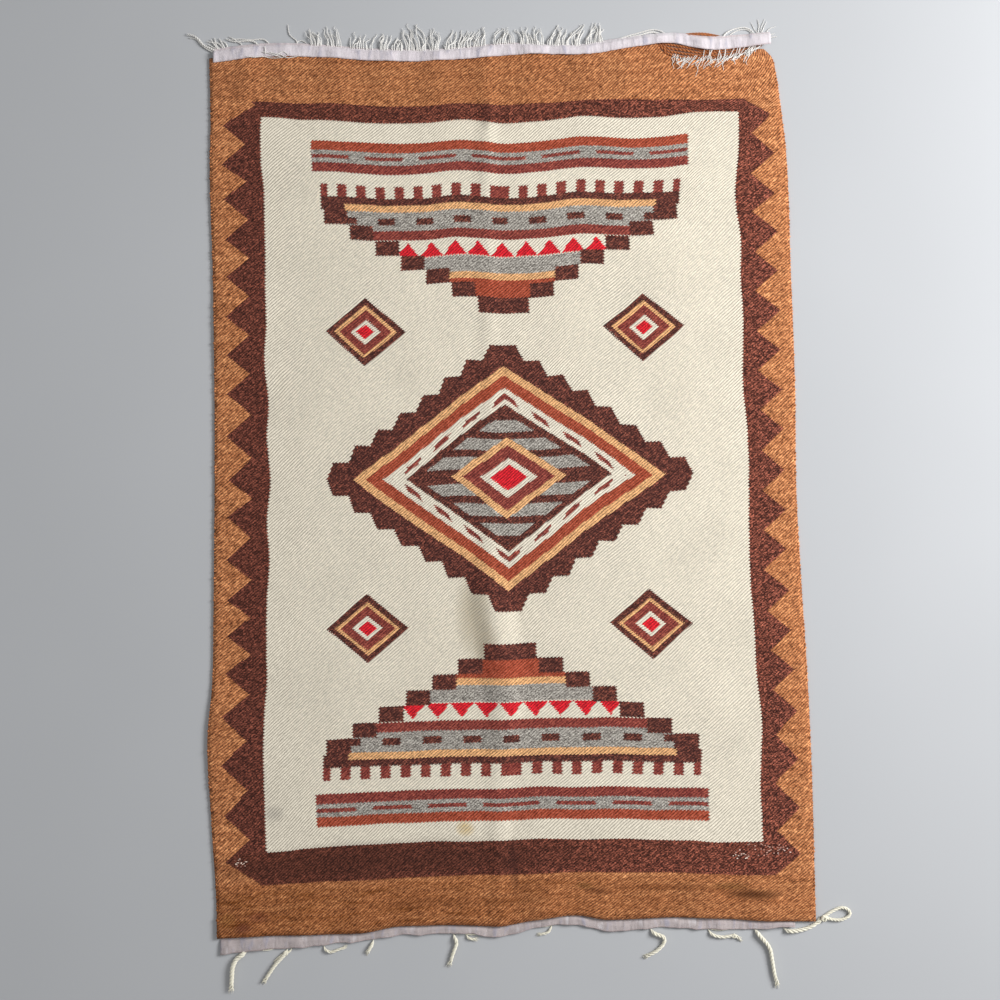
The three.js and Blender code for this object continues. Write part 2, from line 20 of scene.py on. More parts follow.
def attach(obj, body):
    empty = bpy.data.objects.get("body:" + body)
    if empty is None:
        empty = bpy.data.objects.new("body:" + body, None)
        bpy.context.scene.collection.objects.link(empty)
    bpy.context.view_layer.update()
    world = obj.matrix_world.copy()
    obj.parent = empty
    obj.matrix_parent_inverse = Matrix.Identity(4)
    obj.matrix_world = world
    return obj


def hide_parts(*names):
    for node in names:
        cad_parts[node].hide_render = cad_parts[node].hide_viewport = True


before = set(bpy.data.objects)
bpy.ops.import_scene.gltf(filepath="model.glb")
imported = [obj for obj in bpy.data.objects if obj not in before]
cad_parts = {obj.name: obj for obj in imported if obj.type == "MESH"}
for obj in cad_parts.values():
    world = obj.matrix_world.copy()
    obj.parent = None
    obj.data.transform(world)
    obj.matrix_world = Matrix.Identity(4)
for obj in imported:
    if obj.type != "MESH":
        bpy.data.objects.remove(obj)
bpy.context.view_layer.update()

MM = 0.001
CLOTH_THICK = 3.0
TAPE_CLEAR = 0.8
# Radius of one ply as a share of its yarn's, so that two or three plies just touch.
PLY_SHARE = {2: 0.5, 3: 0.464}
BODY = "root"
log = logging.getLogger("rug")


class Slot(Enum):
    """The record's material slots."""

    WOOL = "wool_weave"
    TAN = "tan_wool"
    TAPE = "binding_tape"
    COTTON = "cotton_warp"
    CORD = "warp_cord"


class Dye(Enum):
    """Colours of the wool, as red, green and blue from 0 to 255."""

    TAN = (186, 119, 76)
    TAN_LIGHT = (226, 160, 108)
    TAN_DARK = (138, 78, 42)
    BROWN = (82, 41, 32)
    FLECK = (172, 98, 78)
    CREAM = (232, 223, 204)
    DARK = (80, 43, 38)
    MAROON = (132, 58, 52)
    RUST = (166, 74, 50)
    PEACH = (226, 172, 120)
    HEATHER = (150, 146, 141)
    RED = (214, 34, 46)
    CHARCOAL = (98, 91, 85)
    PALE = (206, 200, 190)


def linear(shade: tuple[int, int, int]) -> tuple[float, float, float, float]:
    """A colour from 0 to 255 as the linear values that a shader takes.

    Args:
        shade: Red, green and blue.

    Returns:
        Linear red, green, blue and alpha.
    """
    parts = [value / 255 for value in shade]
    return (*[part / 12.92 if part <= 0.04045 else ((part + 0.055) / 1.055) ** 2.4 for part in parts], 1.0)


class Line:
    """A smooth line through measured places, level past its ends."""

    def __init__(self, *rows: tuple[float, float]) -> None:
        """Keeps rows of a place and its value, in rising order."""
        self.places = [row[0] for row in rows]
        self.values = [row[1] for row in rows]
        last = len(rows) - 1
        ends = [(max(index - 1, 0), min(index + 1, last)) for index in range(last + 1)]
        self.slopes = [(self.values[high] - self.values[low]) / (self.places[high] - self.places[low])
                       for low, high in ends]

    def at(self, place: float) -> float:
        """The value at a place.

        Args:
            place: Where to read the line.

        Returns:
            The value on the smooth line there.
        """
        places, values = self.places, self.values
        high = bisect_right(places, place)
        if high == 0 or high == len(places):
            return values[0] if high == 0 else values[-1]
        low = high - 1
        span = places[high] - places[low]
        share = (place - places[low]) / span
        rise = share * share * (3 - 2 * share)
        leave = share * (1 - share) ** 2 * span * self.slopes[low]
        arrive = share * share * (share - 1) * span * self.slopes[high]
        return values[low] + (values[high] - values[low]) * rise + leave + arrive


def blend(low: float, high: float, share: float) -> float:
    """The value at a share of the way from low to high."""
    return low + (high - low) * share


def hump(offset: float) -> float:
    """A smooth hump: 1 in the middle, 0 at and past an offset of 1."""
    inside = max(0.0, 1 - offset * offset)
    return inside * inside


def fade(distance: float, full: float, none: float) -> float:
    """1 up to the first distance, 0 past the second, and a soft S between them."""
    share = min(max((distance - full) / (none - full), 0.0), 1.0)
    return 1 - share * share * (3 - 2 * share)


def between(value: float, knots: Sequence[float], lines: Sequence[float]) -> float:
    """Moves a value from one row of marks to another, evenly between each two.

    Args:
        value: A place among the knots.
        knots: Marks in rising order.
        lines: Where each mark goes.

    Returns:
        The place among the lines.
    """
    index = next((i for i in range(1, len(knots) - 1) if value < knots[i]), len(knots) - 1)
    share = (value - knots[index - 1]) / (knots[index] - knots[index - 1])
    return blend(lines[index - 1], lines[index], share)


class Fold(NamedTuple):
    """A pucker that runs in from one end of the cloth."""

    x: float
    half: float
    high: float
    reach: float


class Swell(NamedTuple):
    """A low swell in the body of the cloth."""

    x: float
    y: float
    half_x: float
    half_y: float
    high: float


@dataclass(frozen=True)
class LaidCloth:
    """How the cloth lies: its outline, the lines of its bands, and its folds."""

    left: Line = Line((-500, -334), (-450, -335), (-370, -339.5), (-280, -343), (-210, -337), (-110, -334.5),
                      (0, -332.5), (110, -331.5), (250, -332), (370, -334.5), (440, -333), (510, -334))
    right: Line = Line((-500, 332.5), (-450, 333), (-370, 333.5), (-280, 333), (-210, 331.5), (-110, 328),
                       (0, 325.5), (110, 327.5), (250, 326.5), (370, 325.5), (440, 319.5), (477, 315), (488, 311.5),
                       (497, 303), (510, 296))
    field_left: Line = Line((-400, -277), (-345, -279.5), (-300, -279.5), (-255, -278.5), (-210, -275), (-120, -273.5),
                            (-75, -270), (-28, -272), (17, -268), (64, -271), (110, -269.5), (155, -273),
                            (201, -270), (247, -271), (294, -271), (340, -271.5), (387, -275), (434, -274))
    field_right: Line = Line((-396, 277), (-351, 276), (-307, 277.5), (-263, 279), (-218, 276), (-174, 274),
                             (-85, 271), (-40, 272), (5, 272.5), (51, 273), (96, 270), (141, 269), (187, 271.5),
                             (232, 269.5), (278, 271), (324, 266), (370, 270.5), (415, 272))
    bottom: Line = Line((-334, -497.5), (-286, -495), (-230, -494), (-170, -492), (-128, -485.5), (-60, -484.5),
                        (-15, -486), (28, -479), (70, -475), (105, -480), (165, -478), (215, -479),
                        (272, -482.5), (332, -484))
    low_band: Line = Line((-320, -440), (-262, -438), (-217, -435.5), (-172, -434), (-127, -432), (-82, -430.5),
                          (-37, -429.5), (7, -429.5), (52, -428), (96, -428), (141, -428.5), (185, -429.5),
                          (229, -431.5), (257, -433), (310, -433))
    field_low: Line = Line((-320, -402), (-263, -401.5), (-229, -398), (-184, -395.5), (-138, -393.5),
                           (-82, -392), (-15, -392), (30, -390), (75, -391), (119, -391), (163, -393),
                           (208, -394), (230, -396), (300, -395))
    field_high: Line = Line((-320, 437), (-264, 435.5), (-229, 432), (-183, 429), (-137, 424), (-90, 423),
                            (-44, 426), (2, 420), (47, 421), (93, 425.5), (139, 422), (185, 422), (230, 426),
                            (300, 425))
    high_band: Line = Line((-320, 456), (-275, 454), (-229, 451), (-182, 449), (-136, 445), (-90, 443),
                           (-44, 444.5), (2, 441.5), (48, 442), (93, 444), (139, 443), (184, 441.5), (230, 440),
                           (300, 440))
    tape_low: Line = Line((-330, 501.5), (-270, 506), (-210, 504), (-150, 498), (-90, 495), (-30, 496),
                          (12, 498.5), (49, 498.5), (92, 496.5), (118, 498), (152, 502.5), (200, 506), (238, 497),
                          (275, 498), (312, 500.5))
    tape_high: Line = Line((-330, 519), (-270, 523.5), (-210, 520.5), (-150, 513.5), (-110, 511), (-66, 509.8),
                           (-20, 512.4), (8, 514.5), (26, 513.6), (49, 511.4), (95, 509.8), (118, 512.5),
                           (148, 516), (200, 519.5), (238, 514), (275, 514.5), (312, 516.5))
    tape_out: Line = Line((-334, -516), (-286, -511), (-230, -507), (-170, -501), (-128, -496), (-60, -494),
                          (-15, -498), (28, -487.5), (70, -486), (105, -493), (165, -489.5), (215, -492),
                          (272, -491.5), (332, -488))
    torn: Line = Line((180, 516), (185, 502), (192, 494), (204, 489), (222, 486.5), (248, 485.5), (271, 488),
                      (286, 492), (298, 496.5), (330, 496.5))
    crease_x: Line = Line((-490, -16), (-320, -14), (-230, -6), (-160, -12), (-100, -22), (-20, -17), (300, -16),
                          (505, -12))
    crease_half: Line = Line((-490, 15), (-400, 17), (-320, 18), (-240, 26), (-160, 30), (-90, 24), (-20, 9.5),
                             (40, 9.5), (150, 14), (300, 14), (420, 15), (505, 16))
    crease_high: Line = Line((-490, 1.6), (-400, 2.6), (-320, 2), (-240, 4.8), (-160, 6), (-90, 3.6),
                             (-20, 1), (40, 1), (150, 1.4), (300, 1.4), (420, 2.4), (505, 1.6))
    upper_folds: tuple[Fold, ...] = (
        Fold(-290, 20, 2, 78), Fold(-243, 22, 1.1, 60), Fold(-186, 27, 1.9, 85), Fold(-128, 24, 1.2, 60),
        Fold(-68, 25, 1.7, 75), Fold(42, 27, 1.8, 80), Fold(98, 23, 1.1, 55), Fold(146, 20, 1.3, 60))
    lower_folds: tuple[Fold, ...] = (
        Fold(-300, 28, 1.9, 80), Fold(-236, 26, 1.2, 60), Fold(-168, 30, 2.4, 90), Fold(-104, 24, 1.3, 65),
        Fold(-52, 20, 1, 55), Fold(34, 26, 2.6, 80), Fold(92, 25, 1.6, 70), Fold(148, 27, 1.3, 60),
        Fold(210, 30, 2.2, 85), Fold(276, 28, 1.7, 75))
    swells: tuple[Swell, ...] = (
        Swell(-318, -275, 60, 85, 2), Swell(300, -190, 50, 80, 1.6), Swell(298, 330, 48, 90, 1.5),
        Swell(-305, 190, 48, 80, 1.3), Swell(-150, -430, 90, 26, 1.6), Swell(205, -446, 80, 24, 1.5),
        Swell(150, 452, 90, 26, 1.2))
    fold_full: float = 24
    fold_zone: float = 100
    over_tape: float = 1.6
    over_tape_reach: float = 12
    over_tape_fade: float = 34
    under_tape: float = 6
    across_marks: tuple[float, ...] = (-330, -272, 270, 326)
    along_marks: tuple[float, ...] = (-491, -431, -393, 424, 444, 507)

    def lift(self, x: float, y: float) -> float:
        """Height of the cloth's underside above the floor.

        Args:
            x: Place across the rug.
            y: Place along it.

        Returns:
            Height in millimetres.
        """
        crease = self.crease_high.at(y) * hump((x - self.crease_x.at(y)) / self.crease_half.at(y))
        swells = sum(s.high * hump(math.hypot((x - s.x) / s.half_x, (y - s.y) / s.half_y)) for s in self.swells)
        from_top = self.tape_low.at(x) - y
        from_bottom = y - self.bottom.at(x)
        folds = sum(f.high * hump((x - f.x) / f.half) * fade(inwards, self.fold_full, f.reach)
                    for rows, inwards in ((self.upper_folds, from_top), (self.lower_folds, from_bottom))
                    if inwards < self.fold_zone for f in rows if abs(x - f.x) < f.half)
        return crease + swells + folds + self.over_tape * fade(from_bottom, self.over_tape_reach, self.over_tape_fade)

    def place(self, u: float, v: float) -> tuple[float, float]:
        """Where a point of the flat cloth lies on the floor plan.

        Args:
            u: Place across the cloth as it was woven.
            v: Place along it as it was woven.

        Returns:
            X and Y of that point.
        """
        side_lines = (self.left, self.field_left, self.field_right, self.right)
        band_lines = (self.bottom, self.low_band, self.field_low, self.field_high, self.high_band)
        x, y = u, v
        for _ in range(3):
            x = between(u, self.across_marks, [line.at(y) for line in side_lines])
            upper_end = self.tape_low.at(x) + self.under_tape
            y = between(v, self.along_marks, [*[line.at(x) for line in band_lines], upper_end])
        return x, y


LAID = LaidCloth()


def wander(x: float, y: float, size: float, seed: float) -> float:
    """Smooth unevenness from about -1 to 1.

    Args:
        x: Place across, in millimetres.
        y: Place along, in millimetres.
        size: Size of its waves.
        seed: Tells one unevenness from another.

    Returns:
        The value at that place.
    """
    return noise.noise(Vector((x / size, y / size, seed)))


class Spot(NamedTuple):
    """One corner of a sheet: where it lies, and where it was on the flat cloth."""

    x: float
    y: float
    z: float
    u: float
    v: float


def finish_piece(mesh: bpy.types.Mesh, name: str, material: bpy.types.Material) -> bpy.types.Object:
    """Puts a mesh in the scene as a piece of the rug.

    Args:
        mesh: The finished mesh, in metres.
        name: Name of the piece.
        material: Its finish.

    Returns:
        The new object.
    """
    mesh.name = name
    mesh.materials.clear()
    mesh.materials.append(material)
    mesh.shade_smooth()
    piece = bpy.data.objects.new(name, mesh)
    bpy.context.scene.collection.objects.link(piece)
    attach(piece, BODY)
    log.info("%s: %d faces", name, len(mesh.polygons))
    return piece


def sheet_mesh(columns: int, rows: int, thick: float, edge: float,
               spot: Callable[[float, float], Spot]) -> bpy.types.Mesh:
    """A closed sheet of cloth with softened edges and its flat places as a UV map.

    Args:
        columns: Cells across.
        rows: Cells along.
        thick: Thickness, downwards from the upper face.
        edge: How far the rim of each face is drawn in.
        spot: Gives each corner's place from its shares of the width and length.

    Returns:
        The mesh, in metres.
    """
    shape = bmesh.new()
    bmesh.ops.create_grid(shape, x_segments=columns, y_segments=rows, size=0.5)
    flat = shape.verts.layers.float_vector.new("flat")
    for vert in shape.verts:
        at = spot(vert.co.x + 0.5, vert.co.y + 0.5)
        vert.co = (at.x, at.y, at.z)
        vert[flat] = (at.u, at.v, 0)
    rim = {vert for link in shape.edges if link.is_boundary for vert in link.verts}
    for vert in rim:
        vert.co.z -= edge
    lower = bmesh.ops.extrude_face_region(shape, geom=shape.faces[:])
    lower_verts = [item for item in lower["geom"] if isinstance(item, bmesh.types.BMVert)]
    bmesh.ops.translate(shape, verts=lower_verts, vec=(0, 0, -thick))
    for vert in lower_verts:
        if any(link.other_vert(vert) in rim for link in vert.link_edges):
            vert.co.z += 2 * edge
    bmesh.ops.recalc_face_normals(shape, faces=shape.faces[:])
    chart = shape.loops.layers.uv.new("flat")
    for face in shape.faces:
        for loop in face.loops:
            loop[chart].uv = (loop.vert[flat].x * MM, loop.vert[flat].y * MM)
    bmesh.ops.scale(shape, vec=(MM, MM, MM), verts=shape.verts[:])
    mesh = bpy.data.meshes.new("sheet")
    shape.to_mesh(mesh)
    shape.free()
    return mesh


class Term:
    """A number in a material, that grows by ordinary arithmetic."""

    def __init__(self, tree: bpy.types.NodeTree, socket: bpy.types.NodeSocket) -> None:
        """Keeps the socket that gives the number."""
        self.tree = tree
        self.socket = socket

    def do(self, operation: str, *others: "Term | float") -> "Term":
        """Adds one Math node.

        Args:
            operation: Blender's name of it.
            others: The other numbers it takes.

        Returns:
            Its result.
        """
        node = self.tree.nodes.new("ShaderNodeMath")
        node.operation = operation
        for entry, value in zip(node.inputs, (self, *others)):
            if isinstance(value, Term):
                self.tree.links.new(value.socket, entry)
            else:
                entry.default_value = value
        return Term(self.tree, node.outputs[0])

    def __add__(self, other: "Term | float") -> "Term":
        """The sum."""
        return self.do("ADD", other)

    def __sub__(self, other: "Term | float") -> "Term":
        """The difference."""
        return self.do("SUBTRACT", other)

    def __mul__(self, other: "Term | float") -> "Term":
        """The product."""
        return self.do("MULTIPLY", other)

    def __truediv__(self, other: "Term | float") -> "Term":
        """The quotient."""
        return self.do("DIVIDE", other)

    def rest(self) -> "Term":
        """One less the number."""
        return self * -1 + 1

    def under(self, other: "Term | float") -> "Term":
        """1 where the number is less than the other."""
        return self.do("LESS_THAN", other)

    def over(self, other: "Term | float") -> "Term":
        """1 where the number is more than the other."""
        return self.do("GREATER_THAN", other)

    def size(self) -> "Term":
        """The number without its sign."""
        return self.do("ABSOLUTE")

    def part(self) -> "Term":
        """The fraction past the whole number."""
        return self.do("FRACT")

    def whole(self) -> "Term":
        """The whole number below."""
        return self.do("FLOOR")

    def zigzag(self) -> "Term":
        """A wave of straight lines: 1 at whole numbers, 0 half way."""
        return ((self.part() - 0.5).size()) * 2

    def within(self, low: float, high: float) -> "Term":
        """1 between two numbers."""
        return self.over(low) * self.under(high)

    def clamp(self) -> "Term":
        """The number kept from 0 to 1."""
        return self.do("MAXIMUM", 0.0).do("MINIMUM", 1.0)


class Recipe:
    """A material's node tree, with short ways to add what it needs."""

    GLOSS = 0.2
    SHEEN_SPREAD = 0.5

    def __init__(self, name: str, roughness: float, sheen: float) -> None:
        """Starts a matt cloth-like material.

        Args:
            name: The material's name.
            roughness: How matt it is.
            sheen: How strong the soft light along its edges is.
        """
        self.material = bpy.data.materials.new(name)
        self.material.use_nodes = True
        self.tree = self.material.node_tree
        self.shader = next(n for n in self.tree.nodes if n.type == "BSDF_PRINCIPLED")
        self.shader.inputs["Roughness"].default_value = roughness
        self.shader.inputs["Specular IOR Level"].default_value = self.GLOSS
        self.shader.inputs["Sheen Weight"].default_value = sheen
        self.shader.inputs["Sheen Roughness"].default_value = self.SHEEN_SPREAD

    def node(self, kind: str, **settings: object) -> bpy.types.Node:
        """Adds a node and sets its properties."""
        node = self.tree.nodes.new(kind)
        for key, value in settings.items():
            setattr(node, key, value)
        return node

    def feed(self, entry: bpy.types.NodeSocket, value: object) -> None:
        """Links or sets one input.

        Args:
            entry: The input.
            value: A socket, a term, a dye or a plain value.
        """
        if isinstance(value, Term):
            value = value.socket
        if isinstance(value, bpy.types.NodeSocket):
            self.tree.links.new(value, entry)
        else:
            entry.default_value = linear(value.value) if isinstance(value, Dye) else value

    def chart(self) -> tuple[Term, Term]:
        """Places on the flat cloth, across and along, in millimetres."""
        chart = self.node("ShaderNodeUVMap", uv_map="flat")
        split = self.node("ShaderNodeSeparateXYZ")
        self.feed(split.inputs[0], chart.outputs[0])
        return Term(self.tree, split.outputs[0]) * 1000, Term(self.tree, split.outputs[1]) * 1000

    def point(self, x: Term | float, y: Term | float, z: Term | float = 0.0) -> bpy.types.NodeSocket:
        """A vector from three numbers."""
        join = self.node("ShaderNodeCombineXYZ")
        for entry, value in zip(join.inputs, (x, y, z)):
            self.feed(entry, value)
        return join.outputs[0]

    def solid_point(self) -> bpy.types.NodeSocket:
        """The place in the rug's own space."""
        return self.node("ShaderNodeTexCoord").outputs["Object"]

    def noise(self, at: bpy.types.NodeSocket, scale: float, detail: float = 2.0, rough: float = 0.5) -> Term:
        """Smooth noise from 0 to 1."""
        node = self.node("ShaderNodeTexNoise")
        self.feed(node.inputs["Vector"], at)
        node.inputs["Scale"].default_value = scale
        node.inputs["Detail"].default_value = detail
        node.inputs["Roughness"].default_value = rough
        return Term(self.tree, node.outputs[0])

    def chance(self, at: bpy.types.NodeSocket) -> Term:
        """A random number from 0 to 1, its own for each place."""
        node = self.node("ShaderNodeTexWhiteNoise", noise_dimensions="3D")
        self.feed(node.inputs["Vector"], at)
        return Term(self.tree, node.outputs["Value"])

    def mix(self, share: Term | float, first: object, second: object, how: str = "MIX") -> bpy.types.NodeSocket:
        """Mixes two colours.

        Args:
            share: How much of the second shows.
            first: Colour where the share is 0.
            second: Colour where it is 1.
            how: Blender's name of the way they mix.

        Returns:
            The mixed colour.
        """
        node = self.node("ShaderNodeMix", data_type="RGBA", blend_type=how)
        self.feed(node.inputs["Factor"], share)
        self.feed(node.inputs[6], first)
        self.feed(node.inputs[7], second)
        return node.outputs[2]

    def steps(self, value: Term, full: float, rows: Sequence[tuple[float, Dye]]) -> bpy.types.NodeSocket:
        """Plain bands of colour.

        Args:
            value: What the bands follow.
            full: The value at which the scale ends.
            rows: Where each band starts, and its dye.

        Returns:
            The colour.
        """
        node = self.node("ShaderNodeValToRGB")
        self.feed(node.inputs[0], value / full)
        scale = node.color_ramp
        scale.interpolation = "CONSTANT"
        for index, (start, dye) in enumerate(rows):
            stop = scale.elements[index] if index < 2 else scale.elements.new(min(start / full, 1.0))
            stop.position = min(start / full, 1.0)
            stop.color = linear(dye.value)
        return node.outputs[0]

    def track(self, value: Term, low: float, high: float, rows: Sequence[tuple[float, float]]) -> Term:
        """A number that follows straight lines between given places.

        Args:
            value: Where to read it.
            low: Where its scale starts.
            high: Where its scale ends.
            rows: Places and the numbers there, from 0 to 1.

        Returns:
            The number.
        """
        node = self.node("ShaderNodeValToRGB")
        self.feed(node.inputs[0], (value - low) / (high - low))
        scale = node.color_ramp
        scale.interpolation = "LINEAR"
        for index, (place, number) in enumerate(rows):
            position = (place - low) / (high - low)
            stop = scale.elements[index] if index < 2 else scale.elements.new(position)
            stop.position = position
            stop.color = (number, number, number, 1)
        return Term(self.tree, node.outputs[0])

    def grey(self, value: Term) -> bpy.types.NodeSocket:
        """A number as a grey colour."""
        return self.point(value, value, value)

    def relief(self, height: Term, depth: float, strength: float = 1.0) -> None:
        """Gives the surface a fine relief.

        Args:
            height: The relief from 0 to 1.
            depth: Its depth in millimetres.
            strength: How much of it shows.
        """
        node = self.node("ShaderNodeBump")
        node.inputs["Strength"].default_value = strength
        node.inputs["Distance"].default_value = depth * MM
        self.feed(node.inputs["Height"], height)
        self.feed(self.shader.inputs["Normal"], node.outputs[0])

    def colour(self, value: object) -> bpy.types.Material:
        """Sets the base colour and gives the finished material."""
        self.feed(self.shader.inputs["Base Color"], value)
        return self.material


class Cell(NamedTuple):
    """One float of the twill: its middle, its random key, and the relief of its yarn."""

    u: Term
    v: Term
    key: bpy.types.NodeSocket
    height: Term
    stroke: Term
    grain: Term


@dataclass(frozen=True)
class Twill:
    """A weft-faced twill: floats of wool that step sideways from row to row, so that they lie in slanting wales."""

    float_long: float = 4.1
    row_high: float = 0.9
    step: float = 0.25
    drift: float = 1.1
    edge_share: float = 0.6
    edge_bead: float = 1.5
    grain_size: tuple[float, float] = (1.5, 1.0)

    def cell(self, recipe: Recipe, u: Term, v: Term) -> Cell:
        """The float that a place belongs to.

        Args:
            recipe: The material it is for.
            u: Place across the flat cloth.
            v: Place along it.

        Returns:
            The float's middle, key and relief.
        """
        at = recipe.point(u, v)
        u = u + (recipe.noise(at, 0.016) - 0.5) * (4 * self.drift)
        v = v + (recipe.noise(recipe.point(v, u), 0.021) - 0.5) * (3 * self.drift)
        row = (v / self.row_high).whole()
        shift = row * self.step
        across = u / self.float_long - shift
        count = across.whole()
        middle_u = (count + shift + 0.5) * self.float_long
        middle_v = (row + 0.5) * self.row_high
        side = (across.part() - 0.5) * 2
        height = (side * side).rest()
        wale = u / self.float_long - v * (self.step / self.row_high)
        along = u * 0.09 + v * 0.12
        stroke = recipe.noise(recipe.point(wale * 0.9, along), 1.0, 2.0, 0.6)
        wide, high = self.grain_size
        grain = recipe.chance(recipe.point((u / wide).whole(), (v / high).whole(), 3.0))
        edge_u = u + (middle_u - u) * self.edge_share
        edge_v = middle_v + (height - 0.6) * self.edge_bead
        return Cell(edge_u, edge_v, recipe.point(count, row), height, stroke, grain)


@dataclass(frozen=True)
class SawtoothBorder:
    """The dark border with saw teeth along both sides, on a tan ground."""

    low: float = -431
    high: float = 444
    left_notch: float = -290
    left_tip: float = -316
    right_notch: float = 286
    right_tip: float = 312
    left_tips: tuple[float, ...] = (-404, -354, -298, -245, -197, -157, -117, -73, -25, 16, 64, 112, 156, 198, 243,
                                    286, 332, 370, 416)
    right_tips: tuple[float, ...] = (-408, -357, -303, -250, -205, -162, -117, -72, -28, 17, 62, 107, 152, 196, 241,
                                     286, 330, 376, 420)
    corner_slopes: tuple[float, float] = (0.45, 0.27)
    field_left: float = -272
    field_right: float = 270
    field_low: float = -393
    field_high: float = 424

    def teeth(self, recipe: Recipe, v: Term, tips: Sequence[float]) -> Term:
        """The teeth along one side: 1 at each tip and 0 at each notch.

        Args:
            recipe: The material it is for.
            v: Place along the cloth.
            tips: Where the tips are.

        Returns:
            The wave.
        """
        last = len(tips) - 1
        pitch = 1 / (last + 2)
        first_gap, last_gap = tips[1] - tips[0], tips[last] - tips[last - 1]
        rows = [(tips[0] - first_gap, 0.0)]
        rows += [(tip, (index + 1) * pitch) for index, tip in enumerate(tips)]
        rows += [(tips[last] + last_gap, 1.0)]
        return (recipe.track(v, rows[0][0], rows[-1][0], rows) / pitch).zigzag()

    def dark(self, recipe: Recipe, cell: Cell) -> Term:
        """1 where the dark border or what it frames lies.

        Args:
            recipe: The material it is for.
            cell: The float.

        Returns:
            The mask.
        """
        left = self.teeth(recipe, cell.v, self.left_tips) * (self.left_tip - self.left_notch) + self.left_notch
        right = self.teeth(recipe, cell.v, self.right_tips) * (self.right_tip - self.right_notch) + self.right_notch
        above = (cell.v - self.left_tips[-1]).do("MAXIMUM", 0.0)
        beyond = above + (cell.v * -1 + self.left_tips[0]).do("MAXIMUM", 0.0)
        left = left + beyond * self.corner_slopes[0]
        right = right - beyond * self.corner_slopes[1]
        return cell.v.within(self.low, self.high) * cell.u.over(left) * cell.u.under(right)

    def field(self, cell: Cell) -> Term:
        """1 where the pale field lies."""
        return cell.v.within(self.field_low, self.field_high) * cell.u.within(self.field_left, self.field_right)


